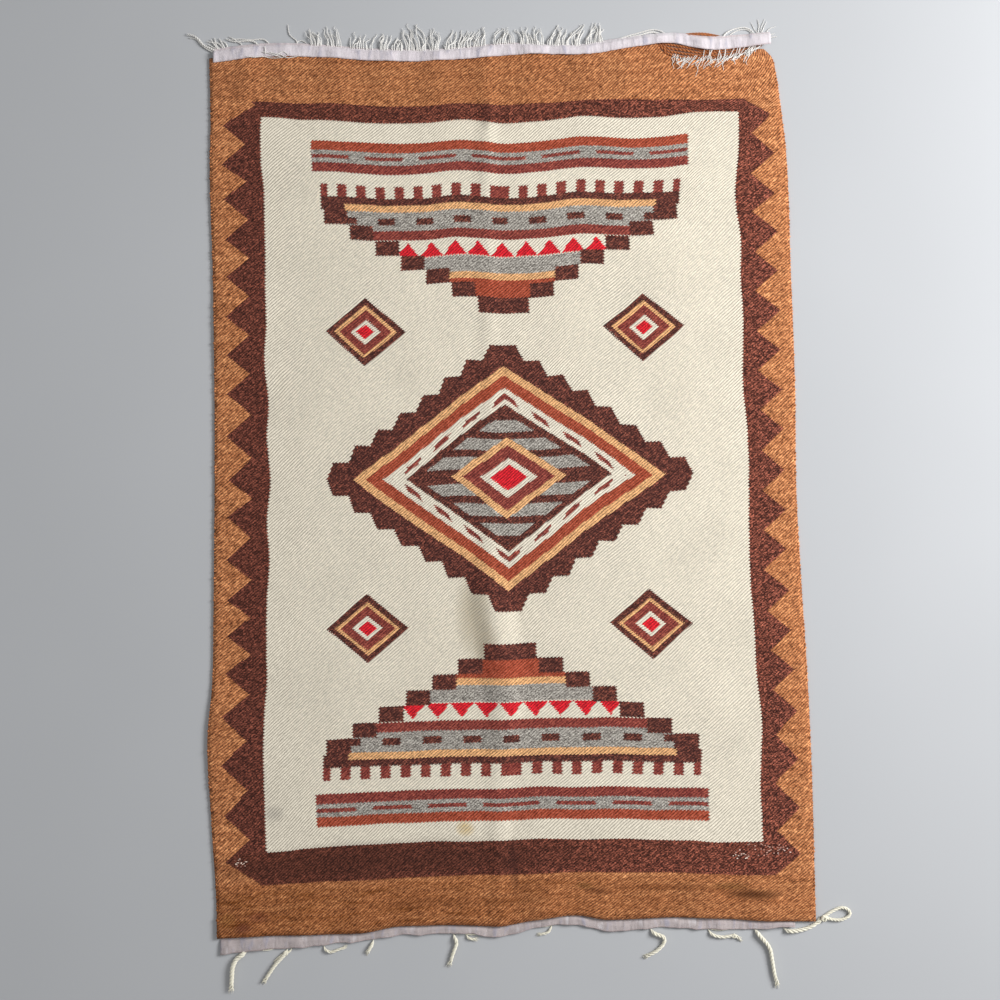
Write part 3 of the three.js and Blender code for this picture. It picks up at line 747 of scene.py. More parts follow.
@dataclass(frozen=True)
class FieldDesign:
    """Plain geometric figures on the pale field, alike to all four corners."""

    middle_v: float = 15
    medallion_across: float = 208
    medallion_along: float = 150
    medallion_tooth: float = 0.085
    medallion_pitch: float = 19
    medallion_bands: tuple[tuple[float, Dye], ...] = (
        (0, Dye.RED), (0.10, Dye.CREAM), (0.15, Dye.MAROON), (0.25, Dye.PEACH), (0.31, Dye.HEATHER),
        (0.50, Dye.DARK), (0.56, Dye.CREAM), (0.68, Dye.RUST), (0.78, Dye.PEACH), (0.85, Dye.DARK))
    bar_zone: tuple[float, float] = (0.31, 0.50)
    bar_pitch: float = 22
    bar_share: float = 0.38
    dash_zone: tuple[float, float] = (0.56, 0.68)
    pyramid_start: float = 188
    pyramid_end: float = 322
    pyramid_rise: float = 17
    pyramid_step: float = 29
    pyramid_wide: float = 206
    pyramid_rim: float = 27
    pyramid_bands: tuple[tuple[float, Dye], ...] = (
        (0, Dye.DARK), (206, Dye.RUST), (226, Dye.PEACH), (233, Dye.HEATHER), (252, Dye.CREAM), (272, Dye.MAROON),
        (284, Dye.HEATHER), (306, Dye.PEACH), (313, Dye.DARK))
    bead_zone: tuple[float, float] = (254, 271)
    bead_pitch: float = 27
    brick_zone: tuple[float, float] = (291, 299)
    brick_pitch: float = 44
    scale_end: float = 400
    comb_end: float = 336
    comb_pitch: float = 22
    rail_zone: tuple[float, float] = (350, 386)
    rail_wide: float = 214
    rail_dash_pitch: float = 61
    rail_bands: tuple[tuple[float, Dye], ...] = ((0, Dye.MAROON), (360, Dye.HEATHER), (375, Dye.RUST))
    small_across: float = 158
    small_along: float = 168
    small_half: tuple[float, float] = (46, 39)
    small_bands: tuple[tuple[float, Dye], ...] = (
        (0, Dye.RED), (0.22, Dye.CREAM), (0.36, Dye.MAROON), (0.66, Dye.PEACH), (0.78, Dye.DARK))

    def paint(self, recipe: Recipe, cell: Cell, ground: object) -> bpy.types.NodeSocket:
        """Lays the figures over the ground.

        Args:
            recipe: The material it is for.
            cell: The float.
            ground: Colour of the field.

        Returns:
            The colour.
        """
        across = cell.u.size()
        along = (cell.v - self.middle_v).size()
        colour = self.pyramids(recipe, across, along, ground)
        colour = self.medallion(recipe, across, along, colour)
        colour = self.small_diamonds(recipe, across, along, colour)
        return self.rails(recipe, across, along, colour)

    def medallion(self, recipe: Recipe, across: Term, along: Term, ground: object) -> bpy.types.NodeSocket:
        """The nested diamond in the middle, with a saw edge and barred rings."""
        depth = across / self.medallion_across + along / self.medallion_along
        edge = (along / self.medallion_pitch).part() * self.medallion_tooth + 1
        colour = recipe.steps(depth, 1.0, self.medallion_bands)
        bars = (along / self.bar_pitch).part().under(self.bar_share) * depth.within(*self.bar_zone)
        colour = recipe.mix(bars, colour, Dye.DARK)
        low, high = self.dash_zone
        dashes = (across / self.bar_pitch + along / self.bar_pitch * 0.5).part().under(0.5)
        dashes = dashes * depth.within(blend(low, high, 0.33), blend(low, high, 0.67))
        colour = recipe.mix(dashes, colour, Dye.MAROON)
        return recipe.mix(depth.under(edge), ground, colour)

    def pyramids(self, recipe: Recipe, across: Term, along: Term, ground: object) -> bpy.types.NodeSocket:
        """A stepped pyramid towards each end, striped inside, with comb teeth along its foot."""
        stair = ((along - self.pyramid_start) / self.pyramid_rise).whole() + 1
        half = (stair * self.pyramid_step).do("MINIMUM", self.pyramid_wide)
        colour = recipe.steps(along, self.scale_end, self.pyramid_bands)
        foot, tip = self.bead_zone
        beads = (across / self.bead_pitch).zigzag().over((along - foot).size() / (tip - foot)) * along.within(foot, tip)
        colour = recipe.mix(beads, colour, Dye.RED)
        bricks = (across / self.brick_pitch + 0.25).part().under(0.45) * along.within(*self.brick_zone)
        colour = recipe.mix(bricks, colour, Dye.DARK)
        colour = recipe.mix(across.over(half - self.pyramid_rim), colour, Dye.DARK)
        colour = recipe.mix(across.over(half), colour, ground)
        colour = recipe.mix(along.within(self.pyramid_start, self.pyramid_end), ground, colour)
        teeth = along.within(self.pyramid_end, self.comb_end) * (across / self.comb_pitch).part().under(0.5)
        return recipe.mix(teeth * across.under(self.pyramid_wide), colour, Dye.MAROON)

    def small_diamonds(self, recipe: Recipe, across: Term, along: Term, ground: object) -> bpy.types.NodeSocket:
        """The four small nested diamonds beside the medallion."""
        half_across, half_along = self.small_half
        depth = (across - self.small_across).size() / half_across + (along - self.small_along).size() / half_along
        colour = recipe.steps(depth, 1.0, self.small_bands)
        return recipe.mix(depth.under(1.0), ground, colour)

    def rails(self, recipe: Recipe, across: Term, along: Term, ground: object) -> bpy.types.NodeSocket:
        """A three-striped rail near each end of the field."""
        colour = recipe.steps(along, self.scale_end, self.rail_bands)
        low, high = self.rail_zone
        dashes = (across / self.rail_dash_pitch + 0.2).part().under(0.7)
        dashes = dashes * along.within(blend(low, high, 0.44), blend(low, high, 0.56))
        colour = recipe.mix(dashes, colour, Dye.MAROON)
        return recipe.mix(along.within(low, high) * across.under(self.rail_wide), ground, colour)


class SoftMark(NamedTuple):
    """A soft mark on the cloth, used for stains, worn spots and painted shade."""

    u: float
    v: float
    half_u: float
    half_v: float
    shade: tuple[int, int, int]
    strength: float


@dataclass(frozen=True)
class WovenWool:
    """The cloth's finish: dyed weft twill, uneven, a little worn and stained, with painted shade in its grooves and
    along the crease.
    """

    twill: Twill = Twill()
    border: SawtoothBorder = SawtoothBorder()
    design: FieldDesign = FieldDesign()
    stains_and_painted_shade: tuple[SoftMark, ...] = (
        SoftMark(-299, -480, 13, 8, (96, 42, 34), 0.6),
        SoftMark(-282, -468, 15, 8, (104, 50, 36), 0.5),
        SoftMark(-318, -470, 12, 10, (135, 95, 35), 0.3),
        SoftMark(258, -456, 36, 8, (84, 44, 14), 0.85),
        SoftMark(92, -455, 18, 6, (92, 48, 20), 0.6),
        SoftMark(180, -450, 90, 5, (110, 60, 26), 0.4),
        SoftMark(-60, -462, 150, 7, (112, 62, 28), 0.35),
        SoftMark(-130, -411, 250, 25, (58, 30, 22), 0.5),
        SoftMark(76, -449, 11, 5, (112, 74, 30), 0.6),
        SoftMark(234, -446, 24, 6, (108, 72, 30), 0.55),
        # Painted shade: a broad darkening over the upper tan band, where less light falls.
        SoftMark(-40, 478, 330, 60, (132, 80, 44), 0.25),
        # Painted shade on the left flank of the central crease, which faces away from the light, with some soiling as
        # well.
        SoftMark(-40, -140, 22, 56, (176, 162, 134), 0.55),
        SoftMark(-26, -185, 16, 40, (168, 152, 124), 0.5),
        SoftMark(-52, -379, 12, 10, (200, 168, 100), 0.6),
        SoftMark(-262, -352, 13, 10, (150, 145, 138), 0.4),
        # Painted shade: dark lines along the crease where it crosses the lower and the upper brown band.
        SoftMark(0, -420, 7, 34, (40, 18, 18), 0.45),
        SoftMark(-15, 432, 7, 22, (60, 28, 26), 0.4))
    worn: tuple[SoftMark, ...] = (
        SoftMark(246, -409, 13, 5, (225, 205, 190), 0.36),
        SoftMark(290, -404, 13, 5, (215, 190, 180), 0.36),
        SoftMark(268, -402, 42, 10, (190, 150, 135), 0.1),
        SoftMark(-300, -404, 8, 5, (205, 180, 165), 0.5))
    # Colour that the cloth is darkened towards near its lower end.
    bottom_darkening: tuple[int, int, int] = (116, 60, 6)
    bottom_darkening_track: tuple[tuple[float, float], ...] = (
        (-505, 1.0), (-440, 0.9), (-429, 0.16), (-398, 0.14), (-390, 0.0))
    dyed_over: float = 0.38
    heather_plain: float = 0.2
    heather_bright: float = 0.5
    deep_bright: float = 0.42

    def spot(self, cell: Cell, mark: SoftMark) -> Term:
        """How strongly a mark shows: full in its middle, nothing outside it."""
        across = (cell.u - mark.u) / mark.half_u
        along = (cell.v - mark.v) / mark.half_v
        return (across * across + along * along).rest().clamp() * mark.strength

    def make(self) -> bpy.types.Material:
        """Builds the material.

        Returns:
            The material.
        """
        recipe = Recipe("wool_twill", roughness=0.95, sheen=0.06)
        u, v = recipe.chart()
        cell = self.twill.cell(recipe, u, v)
        lot = recipe.chance(cell.key)
        fibre = recipe.noise(recipe.point(u * 1.1, v * 1.6), 1.0, 2.0, 0.6)
        streak = recipe.noise(recipe.point(u * 0.012, v * 0.13), 1.0, 3.0, 0.6)
        cloud = recipe.noise(recipe.point(u, v), 0.016, 2.0)

        light = (cell.stroke - 0.5) * 2.6 + (streak - 0.5) * 1.6 + (cell.grain - 0.5) * 0.6
        tan = recipe.mix((light * -1.0).clamp(), Dye.TAN, Dye.TAN_DARK)
        tan = recipe.mix(light.clamp(), tan, Dye.TAN_LIGHT)
        # Red flecks in the brown, stronger towards the right: partly real flecks, partly painted light, the brown
        # lighter on the side the lamp falls from.
        flecks_and_painted_light = (cell.grain * 0.55 + cell.stroke * 0.9 - 0.62).clamp() * (u * 0.0015 + 1.5)
        brown = recipe.mix(flecks_and_painted_light.clamp(), Dye.BROWN, Dye.FLECK)
        colour = recipe.mix(self.border.dark(recipe, cell), tan, brown)
        # Darkens the cloth towards its lower end, in horizontal patches, and more towards the left.
        foot = recipe.track(v, -510, -370, self.bottom_darkening_track)
        patches = recipe.noise(recipe.point(u * 0.028, v * 0.15), 1.0, 3.0, 0.65)
        bottom_darkening = foot * (((patches - 0.47) * 3.4).clamp() * 0.55 + 0.34) * (u * -0.0012 + 0.9)
        colour = recipe.mix(bottom_darkening.clamp(), colour, linear(self.bottom_darkening))
        field = self.design.paint(recipe, cell, Dye.CREAM)
        colour = recipe.mix(self.border.field(cell), colour, field)

        split = recipe.node("ShaderNodeSeparateColor", mode="HSV")
        recipe.feed(split.inputs[0], colour)
        depth = Term(recipe.tree, split.outputs[1])
        bright = Term(recipe.tree, split.outputs[2])
        dyed = depth.over(self.dyed_over)
        heather = depth.under(self.heather_plain) * bright.under(self.heather_bright)
        blotch = recipe.noise(recipe.point(u * 0.6, v * 0.8), 1.0, 3.0, 0.7)
        mixed = ((blotch - 0.5) * 2.6 + (cell.grain - 0.5) * 0.5 + (lot - 0.5) * 0.4 + 0.5).clamp()
        colour = recipe.mix(heather, colour, recipe.mix(mixed, Dye.CHARCOAL, Dye.PALE))
        deep = dyed * bright.under(self.deep_bright) * self.border.field(cell)
        specks = (cell.grain * 0.6 + cell.stroke * 0.9 - 0.7).clamp() * 1.1
        colour = recipe.mix(deep * specks.clamp(), colour, Dye.FLECK)

        # Each mark darkens the colour: real stains, and painted shade over the upper band and along the crease.
        for mark in self.stains_and_painted_shade:
            soft = (self.spot(cell, mark) * (cell.grain * 0.5 + cell.stroke * 1.0 + 0.25)).clamp()
            colour = recipe.mix(soft, colour, linear(mark.shade), "DARKEN")
        for mark in self.worn:
            bare = cell.grain.over((self.spot(cell, mark) * -0.55) + 1.0)
            colour = recipe.mix(bare, colour, linear(mark.shade))

        # Painted shade: the colour is darkened in the grooves between the floats, following their relief, together with
        # the yarn's uneven tone.
        level = cell.height * 0.32 + (cell.stroke - 0.5) * 0.45 + cell.grain * 0.16 + cloud * 0.22 + 0.56
        level = level + dyed * ((cell.height - 0.66) * 0.4 + (cell.stroke - 0.5) * 0.95 + (cell.grain - 0.5) * 0.4)
        colour = recipe.mix(1.0, colour, recipe.grey(level), "MULTIPLY")
        recipe.relief(cell.height * 0.9 + fibre * 0.35 + cell.stroke * 0.3, 0.9)
        return recipe.colour(colour)


@dataclass(frozen=True)
class SpunYarn:
    """Loose yarn: fibres of two shades with a soft nap."""

    name: str
    shade: tuple[int, int, int]
    dark: tuple[int, int, int]
    roughness: float = 0.9

    def make(self) -> bpy.types.Material:
        """Builds the material.

        Returns:
            The material.
        """
        recipe = Recipe(self.name, roughness=self.roughness, sheen=0.3)
        at = recipe.solid_point()
        fibre = recipe.noise(at, 1400, 3.0, 0.6)
        soft = recipe.noise(at, 160, 2.0)
        colour = recipe.mix((fibre * 0.8 + soft * 0.6 - 0.1).clamp(), linear(self.dark), linear(self.shade))
        recipe.relief(fibre, 0.25)
        return recipe.colour(colour)


@dataclass(frozen=True)
class RibbedTape:
    """Thin woven seam tape with fine cross ribs, firmer edges and a faint satin look."""

    name: str
    shade: tuple[int, int, int]
    dusk: tuple[int, int, int]
    wide: float
    # Painted shade in the tape's pleats and painted highlight on its ridges.
    pleat_shade: tuple[int, int, int] = (158, 158, 180)
    ridge_highlight: tuple[int, int, int] = (236, 231, 234)
    rim: tuple[int, int, int] = (206, 178, 176)
    rim_wide: float = 1.3
    rib: float = 0.8
    thread: float = 0.45

    def make(self) -> bpy.types.Material:
        """Builds the material.

        Returns:
            The material.
        """
        recipe = Recipe(self.name, roughness=0.62, sheen=0.35)
        u, v = recipe.chart()
        ribs = (u / self.rib).zigzag()
        threads = (v / self.thread + u / self.rib).zigzag()
        cloud = recipe.noise(recipe.point(u * 0.035, v * 0.12), 1.0, 3.0)
        crumple = recipe.noise(recipe.point(u * 0.11, v * 0.035), 1.0, 2.0)
        colour = recipe.mix((cloud * 0.9 + crumple * 0.7 - 0.3).clamp(), linear(self.dusk), linear(self.shade))
        # Painted shade where the crumpled tape folds in, and painted highlight where it rises.
        pleat_shade = ((crumple - 0.55) * 8).clamp()
        ridge_highlight = ((crumple * -1 + 0.43) * 8).clamp()
        colour = recipe.mix(pleat_shade * 0.5, colour, linear(self.pleat_shade))
        colour = recipe.mix(ridge_highlight * 0.6, colour, linear(self.ridge_highlight))
        rim = (v - self.wide / 2).size().over(self.wide / 2 - self.rim_wide)
        colour = recipe.mix(rim * 0.3, colour, linear(self.rim))
        # Painted shade between the fine ribs and threads, multiplied into the colour.
        level = ribs * 0.08 + threads * 0.06 + 0.86
        colour = recipe.mix(1.0, colour, recipe.grey(level), "MULTIPLY")
        recipe.relief(ribs * 0.25 + threads * 0.15 + crumple * 4.5 + rim * 0.3, 0.5)
        return recipe.colour(colour)


def smooth_route(points: Sequence[tuple[float, ...]], spacing: float) -> list[Vector]:
    """Even points on a smooth curve through a route.

    Args:
        points: The route, each point with X, Y and, where it isn't level, Z.
        spacing: Distance between the points given back.

    Returns:
        The points, from the route's start to its end.
    """
    knots = [Vector((*point, 0.0)[:3]) for point in points]
    knots = [2 * knots[0] - knots[1], *knots, 2 * knots[-1] - knots[-2]]
    dense = []
    for index in range(1, len(knots) - 2):
        before, start, end, after = knots[index - 1:index + 3]
        for step in range(12):
            t = step / 12
            dense.append(0.5 * (2 * start + (end - before) * t + (2 * before - 5 * start + 4 * end - after) * t ** 2
                                + (3 * start - before - 3 * end + after) * t ** 3))
    dense.append(knots[-2])
    lengths = [0.0]
    for first, second in zip(dense, dense[1:]):
        lengths.append(lengths[-1] + (second - first).length)
    count = max(2, round(lengths[-1] / spacing))
    even, at = [], 0
    for step in range(count + 1):
        want = lengths[-1] * step / count
        while at < len(lengths) - 2 and lengths[at + 1] < want:
            at += 1
        span = lengths[at + 1] - lengths[at] or 1.0
        even.append(dense[at].lerp(dense[at + 1], (want - lengths[at]) / span))
    return even


@dataclass
class Skein:
    """Threads of one kind that are gathered into one piece."""

    threads: list[list[tuple[Vector, float]]] = field(default_factory=list)

    def thread(self, line: Sequence[Vector], radius: float, tip: float = 0.5) -> None:
        """Adds one plain thread.

        Args:
            line: Its middle.
            radius: Its radius at the root.
            tip: Share of the radius left at the tip.
        """
        last = len(line) - 1
        self.threads.append([(point, radius * blend(1, tip, index / last)) for index, point in enumerate(line)])

    def plied(self, line: Sequence[Vector], size: Callable[[float], float], plies: int, turn: float,
              fray: float = 0.0, base: float = 0.0) -> None:
        """Adds a yarn of plies wound round each other, which rests on a level base.

        Args:
            line: The route on the floor plan.
            size: Gives the whole yarn's radius from the share of its length.
            plies: How many plies it has: 2 or 3.
            turn: Length of one turn.
            fray: Share of the length over which the tip opens.
            base: Height that it rests on.
        """
        last = len(line) - 1
        own = PLY_SHARE[plies]
        length = sum((b - a).length for a, b in zip(line, line[1:]))
        for ply in range(plies):
            strand = []
            for index, point in enumerate(line):
                share = index / last
                radius = size(share)
                ahead = line[min(index + 1, last)] - line[max(index - 1, 0)]
                ahead.z = 0
                ahead.normalize()
                angle = 2 * math.pi * (ply / plies + share * length / turn)
                opened = max(0.0, (share - 1 + fray) / fray) if fray else 0.0
                out = (1 - own) * radius * (1 + 1.3 * opened * opened)
                side = Vector((-ahead.y, ahead.x, 0)) * (out * math.cos(angle))
                rise = radius + (1 - own) * radius * math.sin(angle)
                strand.append((Vector((point.x, point.y, point.z + base + rise)) + side,
                               own * radius * (1 - 0.55 * opened)))
            self.threads.append(strand)

    def piece(self, name: str, material: bpy.types.Material, slot: Slot, sides: int) -> bpy.types.Object:
        """Makes the piece.

        Args:
            name: Name of the piece.
            material: Its finish.
            slot: Not used.
            sides: How many sides each thread has: 4, 6 or 8.

        Returns:
            The object.
        """
        curve = bpy.data.curves.new(name, "CURVE")
        curve.dimensions = "3D"
        curve.bevel_depth = MM
        curve.bevel_resolution = sides // 2 - 2
        curve.use_fill_caps = True
        for thread in self.threads:
            spline = curve.splines.new("POLY")
            spline.points.add(len(thread) - 1)
            for point, (place, radius) in zip(spline.points, thread):
                point.co = (*(place * MM), 1)
                point.radius = radius
        holder = bpy.data.objects.new(name + "_line", curve)
        bpy.context.scene.collection.objects.link(holder)
        mesh = bpy.data.meshes.new_from_object(holder)
        bpy.data.objects.remove(holder)
        bpy.data.curves.remove(curve)
        return finish_piece(mesh, name, material)


@dataclass
class Cloth:
    """The woven cloth and the turns of weft along its two selvedges."""

    columns: int = 150
    rows: int = 224
    edge: float = 0.8
    unevenness: float = 0.3
    even_edge: float = 12
    turn_pitch: float = 3.6
    turn_size: tuple[float, float, float] = (1.5, 1.5, 1.35)
    left_turns_end: float = 500
    right_turns_end: float = 484
    torn_from: float = 182

    def spot(self, across: float, up: float) -> Spot:
        """The upper face at a share of the width and of the length.

        Args:
            across: Share of the width.
            up: Share of the length.

        Returns:
            The corner there.
        """
        marks_u, marks_v = LAID.across_marks, LAID.along_marks
        u = blend(marks_u[0], marks_u[-1], across)
        v = blend(marks_v[0], marks_v[-1], up)
        x, y = LAID.place(u, v)
        if x > self.torn_from and y > LAID.torn.at(x):
            v -= y - LAID.torn.at(x)
            y = LAID.torn.at(x)
        uneven = wander(x, y, 38, 3.1) + 0.5 * wander(x, y, 15, 8.7)
        inward = min((x - LAID.left.at(y)) / self.even_edge, (LAID.right.at(y) - x) / self.even_edge, 1.0)
        return Spot(x, y, LAID.lift(x, y) + CLOTH_THICK + self.unevenness * max(uneven, 0) * inward, u, v)

    def panel(self, material: bpy.types.Material) -> bpy.types.Object:
        """Builds the cloth.

        Args:
            material: The woven finish.

        Returns:
            The piece.
        """
        mesh = sheet_mesh(self.columns, self.rows, CLOTH_THICK, self.edge, self.spot)
        piece = finish_piece(mesh, "woven_cloth", material)
        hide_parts("wool_panel")
        return piece

    def turns(self, material: bpy.types.Material) -> bpy.types.Object:
        """Builds the small turns of weft along both side edges.

        Args:
            material: The woven finish.

        Returns:
            The piece.
        """
        bead = bmesh.new()
        bmesh.ops.create_uvsphere(bead, u_segments=8, v_segments=6, radius=1.0)
        mesh = bpy.data.meshes.new("turns")
        shape = bmesh.new()
        chance = random.Random(7)
        sides = ((LAID.left, -1, LAID.across_marks[0], self.left_turns_end),
                 (LAID.right, 1, LAID.across_marks[-1], self.right_turns_end))
        for line, side, u, end in sides:
            y = LAID.bottom.at(u) + 3
            while y < end:
                size = chance.uniform(0.8, 1.25)
                x = line.at(y) - side * 0.9 + chance.uniform(-0.35, 0.35)
                z = LAID.lift(line.at(y) - side * 2, y) + size * self.turn_size[2]
                turn = Matrix.Translation((x, y, z)) @ Matrix.Rotation(chance.uniform(0.2, 0.7), 4, "Z")
                turn = turn @ Matrix.Diagonal((*[size * part for part in self.turn_size], 1))
                bmesh.ops.transform(bead, matrix=turn, verts=bead.verts[:])
                bead.to_mesh(mesh)
                shape.from_mesh(mesh, face_normals=False, vertex_normals=False)
                bmesh.ops.transform(bead, matrix=turn.inverted(), verts=bead.verts[:])
                y += self.turn_pitch * chance.uniform(0.9, 1.1)
        chart = shape.loops.layers.uv.new("flat")
        for face in shape.faces:
            for loop in face.loops:
                x, y = loop.vert.co.xy
                mark, side_line = (LAID.across_marks[0], LAID.left) if x < 0 else (LAID.across_marks[-1], LAID.right)
                loop[chart].uv = ((mark + x - side_line.at(y)) * MM, y * MM)
        bmesh.ops.scale(shape, vec=(MM, MM, MM), verts=shape.verts[:])
        bmesh.ops.recalc_face_normals(shape, faces=shape.faces[:])
        shape.to_mesh(mesh)
        shape.free()
        bead.free()
        return finish_piece(mesh, "selvedge_turns", material)


@dataclass
class Tapes:
    """The binding tapes of both ends, and the basting stitches on the upper one."""

    thick: float = 0.7
    edge: float = 0.15
    steps: int = 320
    rows: int = 10
    upper: tuple[float, float] = (-329, 311)
    lower: tuple[float, float] = (-331, 310)
    lifts: tuple[tuple[float, float, float], ...] = ((190, 20, 1.6), (234, 17, 2.2), (312, 52, 2.6))
    stand_off: float = 0.25
    sag: float = 0.6
    turned_from: float = 0.6
    outer_rest: float = 0.7
    over_strip: float = 1.45
    rise_share: float = 0.35
    under_cloth: float = 5
    lower_marks: tuple[float, ...] = (0.0, 0.55, 0.75, 1.0)

    def upper_spot(self, along: float, across: float) -> Spot:
        """The upper tape's face at shares of its length and width."""
        x = blend(*self.upper, along)
        low, high = LAID.tape_low.at(x), LAID.tape_high.at(x)
        y = blend(low, high, across)
        standing = sum(rise * hump((x - at) / half) for at, half, rise in self.lifts)
        ripple = max(1.5 * wander(x, y * 0.3, 14, 1.7) + 0.3 * wander(x, y * 0.5, 5, 5.2), -self.sag)
        on_cloth = LAID.lift(x, low) + standing + CLOTH_THICK + TAPE_CLEAR + self.thick + self.stand_off + ripple
        on_floor = self.thick + self.outer_rest + 0.3 * ripple
        z = blend(on_floor, on_cloth, fade(across, self.turned_from, 1.0))
        ragged = 0.5 * wander(x, 0, 6, 12.0 + across)
        return Spot(x, y + ragged, z, x, y - low)

    def lower_spot(self, along: float, across: float) -> Spot:
        """The lower tape's face at shares of its length and width."""
        x = blend(*self.lower, along)
        cloth, outer = LAID.bottom.at(x), LAID.tape_out.at(x)
        rises = cloth - 1
        risen = blend(rises, outer, self.rise_share)
        y = between(across, self.lower_marks, (outer, risen, rises, cloth + self.under_cloth))
        base = between(across, self.lower_marks, (self.over_strip, self.over_strip, 0.0, 0.0))
        shown = fade(across, 0.5, 0.75)
        ripple = shown * max(0.0, 2.3 * wander(x, y * 0.3, 15, 2.4) + 0.4 * wander(x, y * 0.6, 5, 9.4) + 0.8)
        ragged = (0.6 * wander(x, 0, 6, 21.0) + 1.8 * wander(x, 0, 19, 23.0)) * shown
        return Spot(x, y + ragged, base + self.thick + 0.1 + ripple, x, y - outer)

    def build(self, upper: bpy.types.Material, lower: bpy.types.Material) -> tuple[bpy.types.Object, bpy.types.Object]:
        """Builds both tapes.

        Args:
            upper: The upper tape's finish.
            lower: The lower tape's finish.

        Returns:
            The upper and the lower tape.
        """
        pieces = []
        for name, node, spot, finish in (("upper_binding", "top_tape", self.upper_spot, upper),
                                         ("lower_binding", "bottom_tape", self.lower_spot, lower)):
            mesh = sheet_mesh(self.steps, self.rows, self.thick, self.edge, spot)
            piece = finish_piece(mesh, name, finish)
            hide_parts(node)
            pieces.append(piece)
        return pieces[0], pieces[1]

    def basting(self, material: bpy.types.Material) -> bpy.types.Object:
        """Builds the tangle of white basting thread on the upper tape's edge.

        Args:
            material: The thread's finish.

        Returns:
            The piece.
        """
        skein = Skein()
        routes = [
            [(-289, 1.2), (-280, -0.4), (-271, 0.3), (-262, -1.2), (-250, -1.6), (-243, -0.4)],
            [(-271, 6), (-264, 3.6), (-257, 1.2), (-248, -1.4)],
            [(-262, 4.5), (-255, 2.6), (-249, 1.0), (-243, -1.6), (-236, -1.0), (-228, 0.4)],
            [(-256, 0.2), (-250, 3.6), (-246, 4.8), (-241, 1.4)],
            [(-268, 12), (-267.6, 8), (-267.8, 3)],
        ]
        for index, route in enumerate(routes):
            points = []
            for x, out in route:
                low = LAID.tape_low.at(x)
                z = LAID.lift(x, low) + CLOTH_THICK + (TAPE_CLEAR + 1.35 if out > -0.6 else 0.35)
                points.append((x, low + out, z))
            skein.plied(smooth_route(points, 1.0), lambda share: 0.55, 2, 4.0 + index * 0.3)
        return skein.piece("basting_thread", material, Slot.COTTON, 6)


class Clump(NamedTuple):
    """A clump of the upper fringe."""

    root: float
    root_wide: float
    tip: float
    tip_wide: float
    reach: float
    strands: int


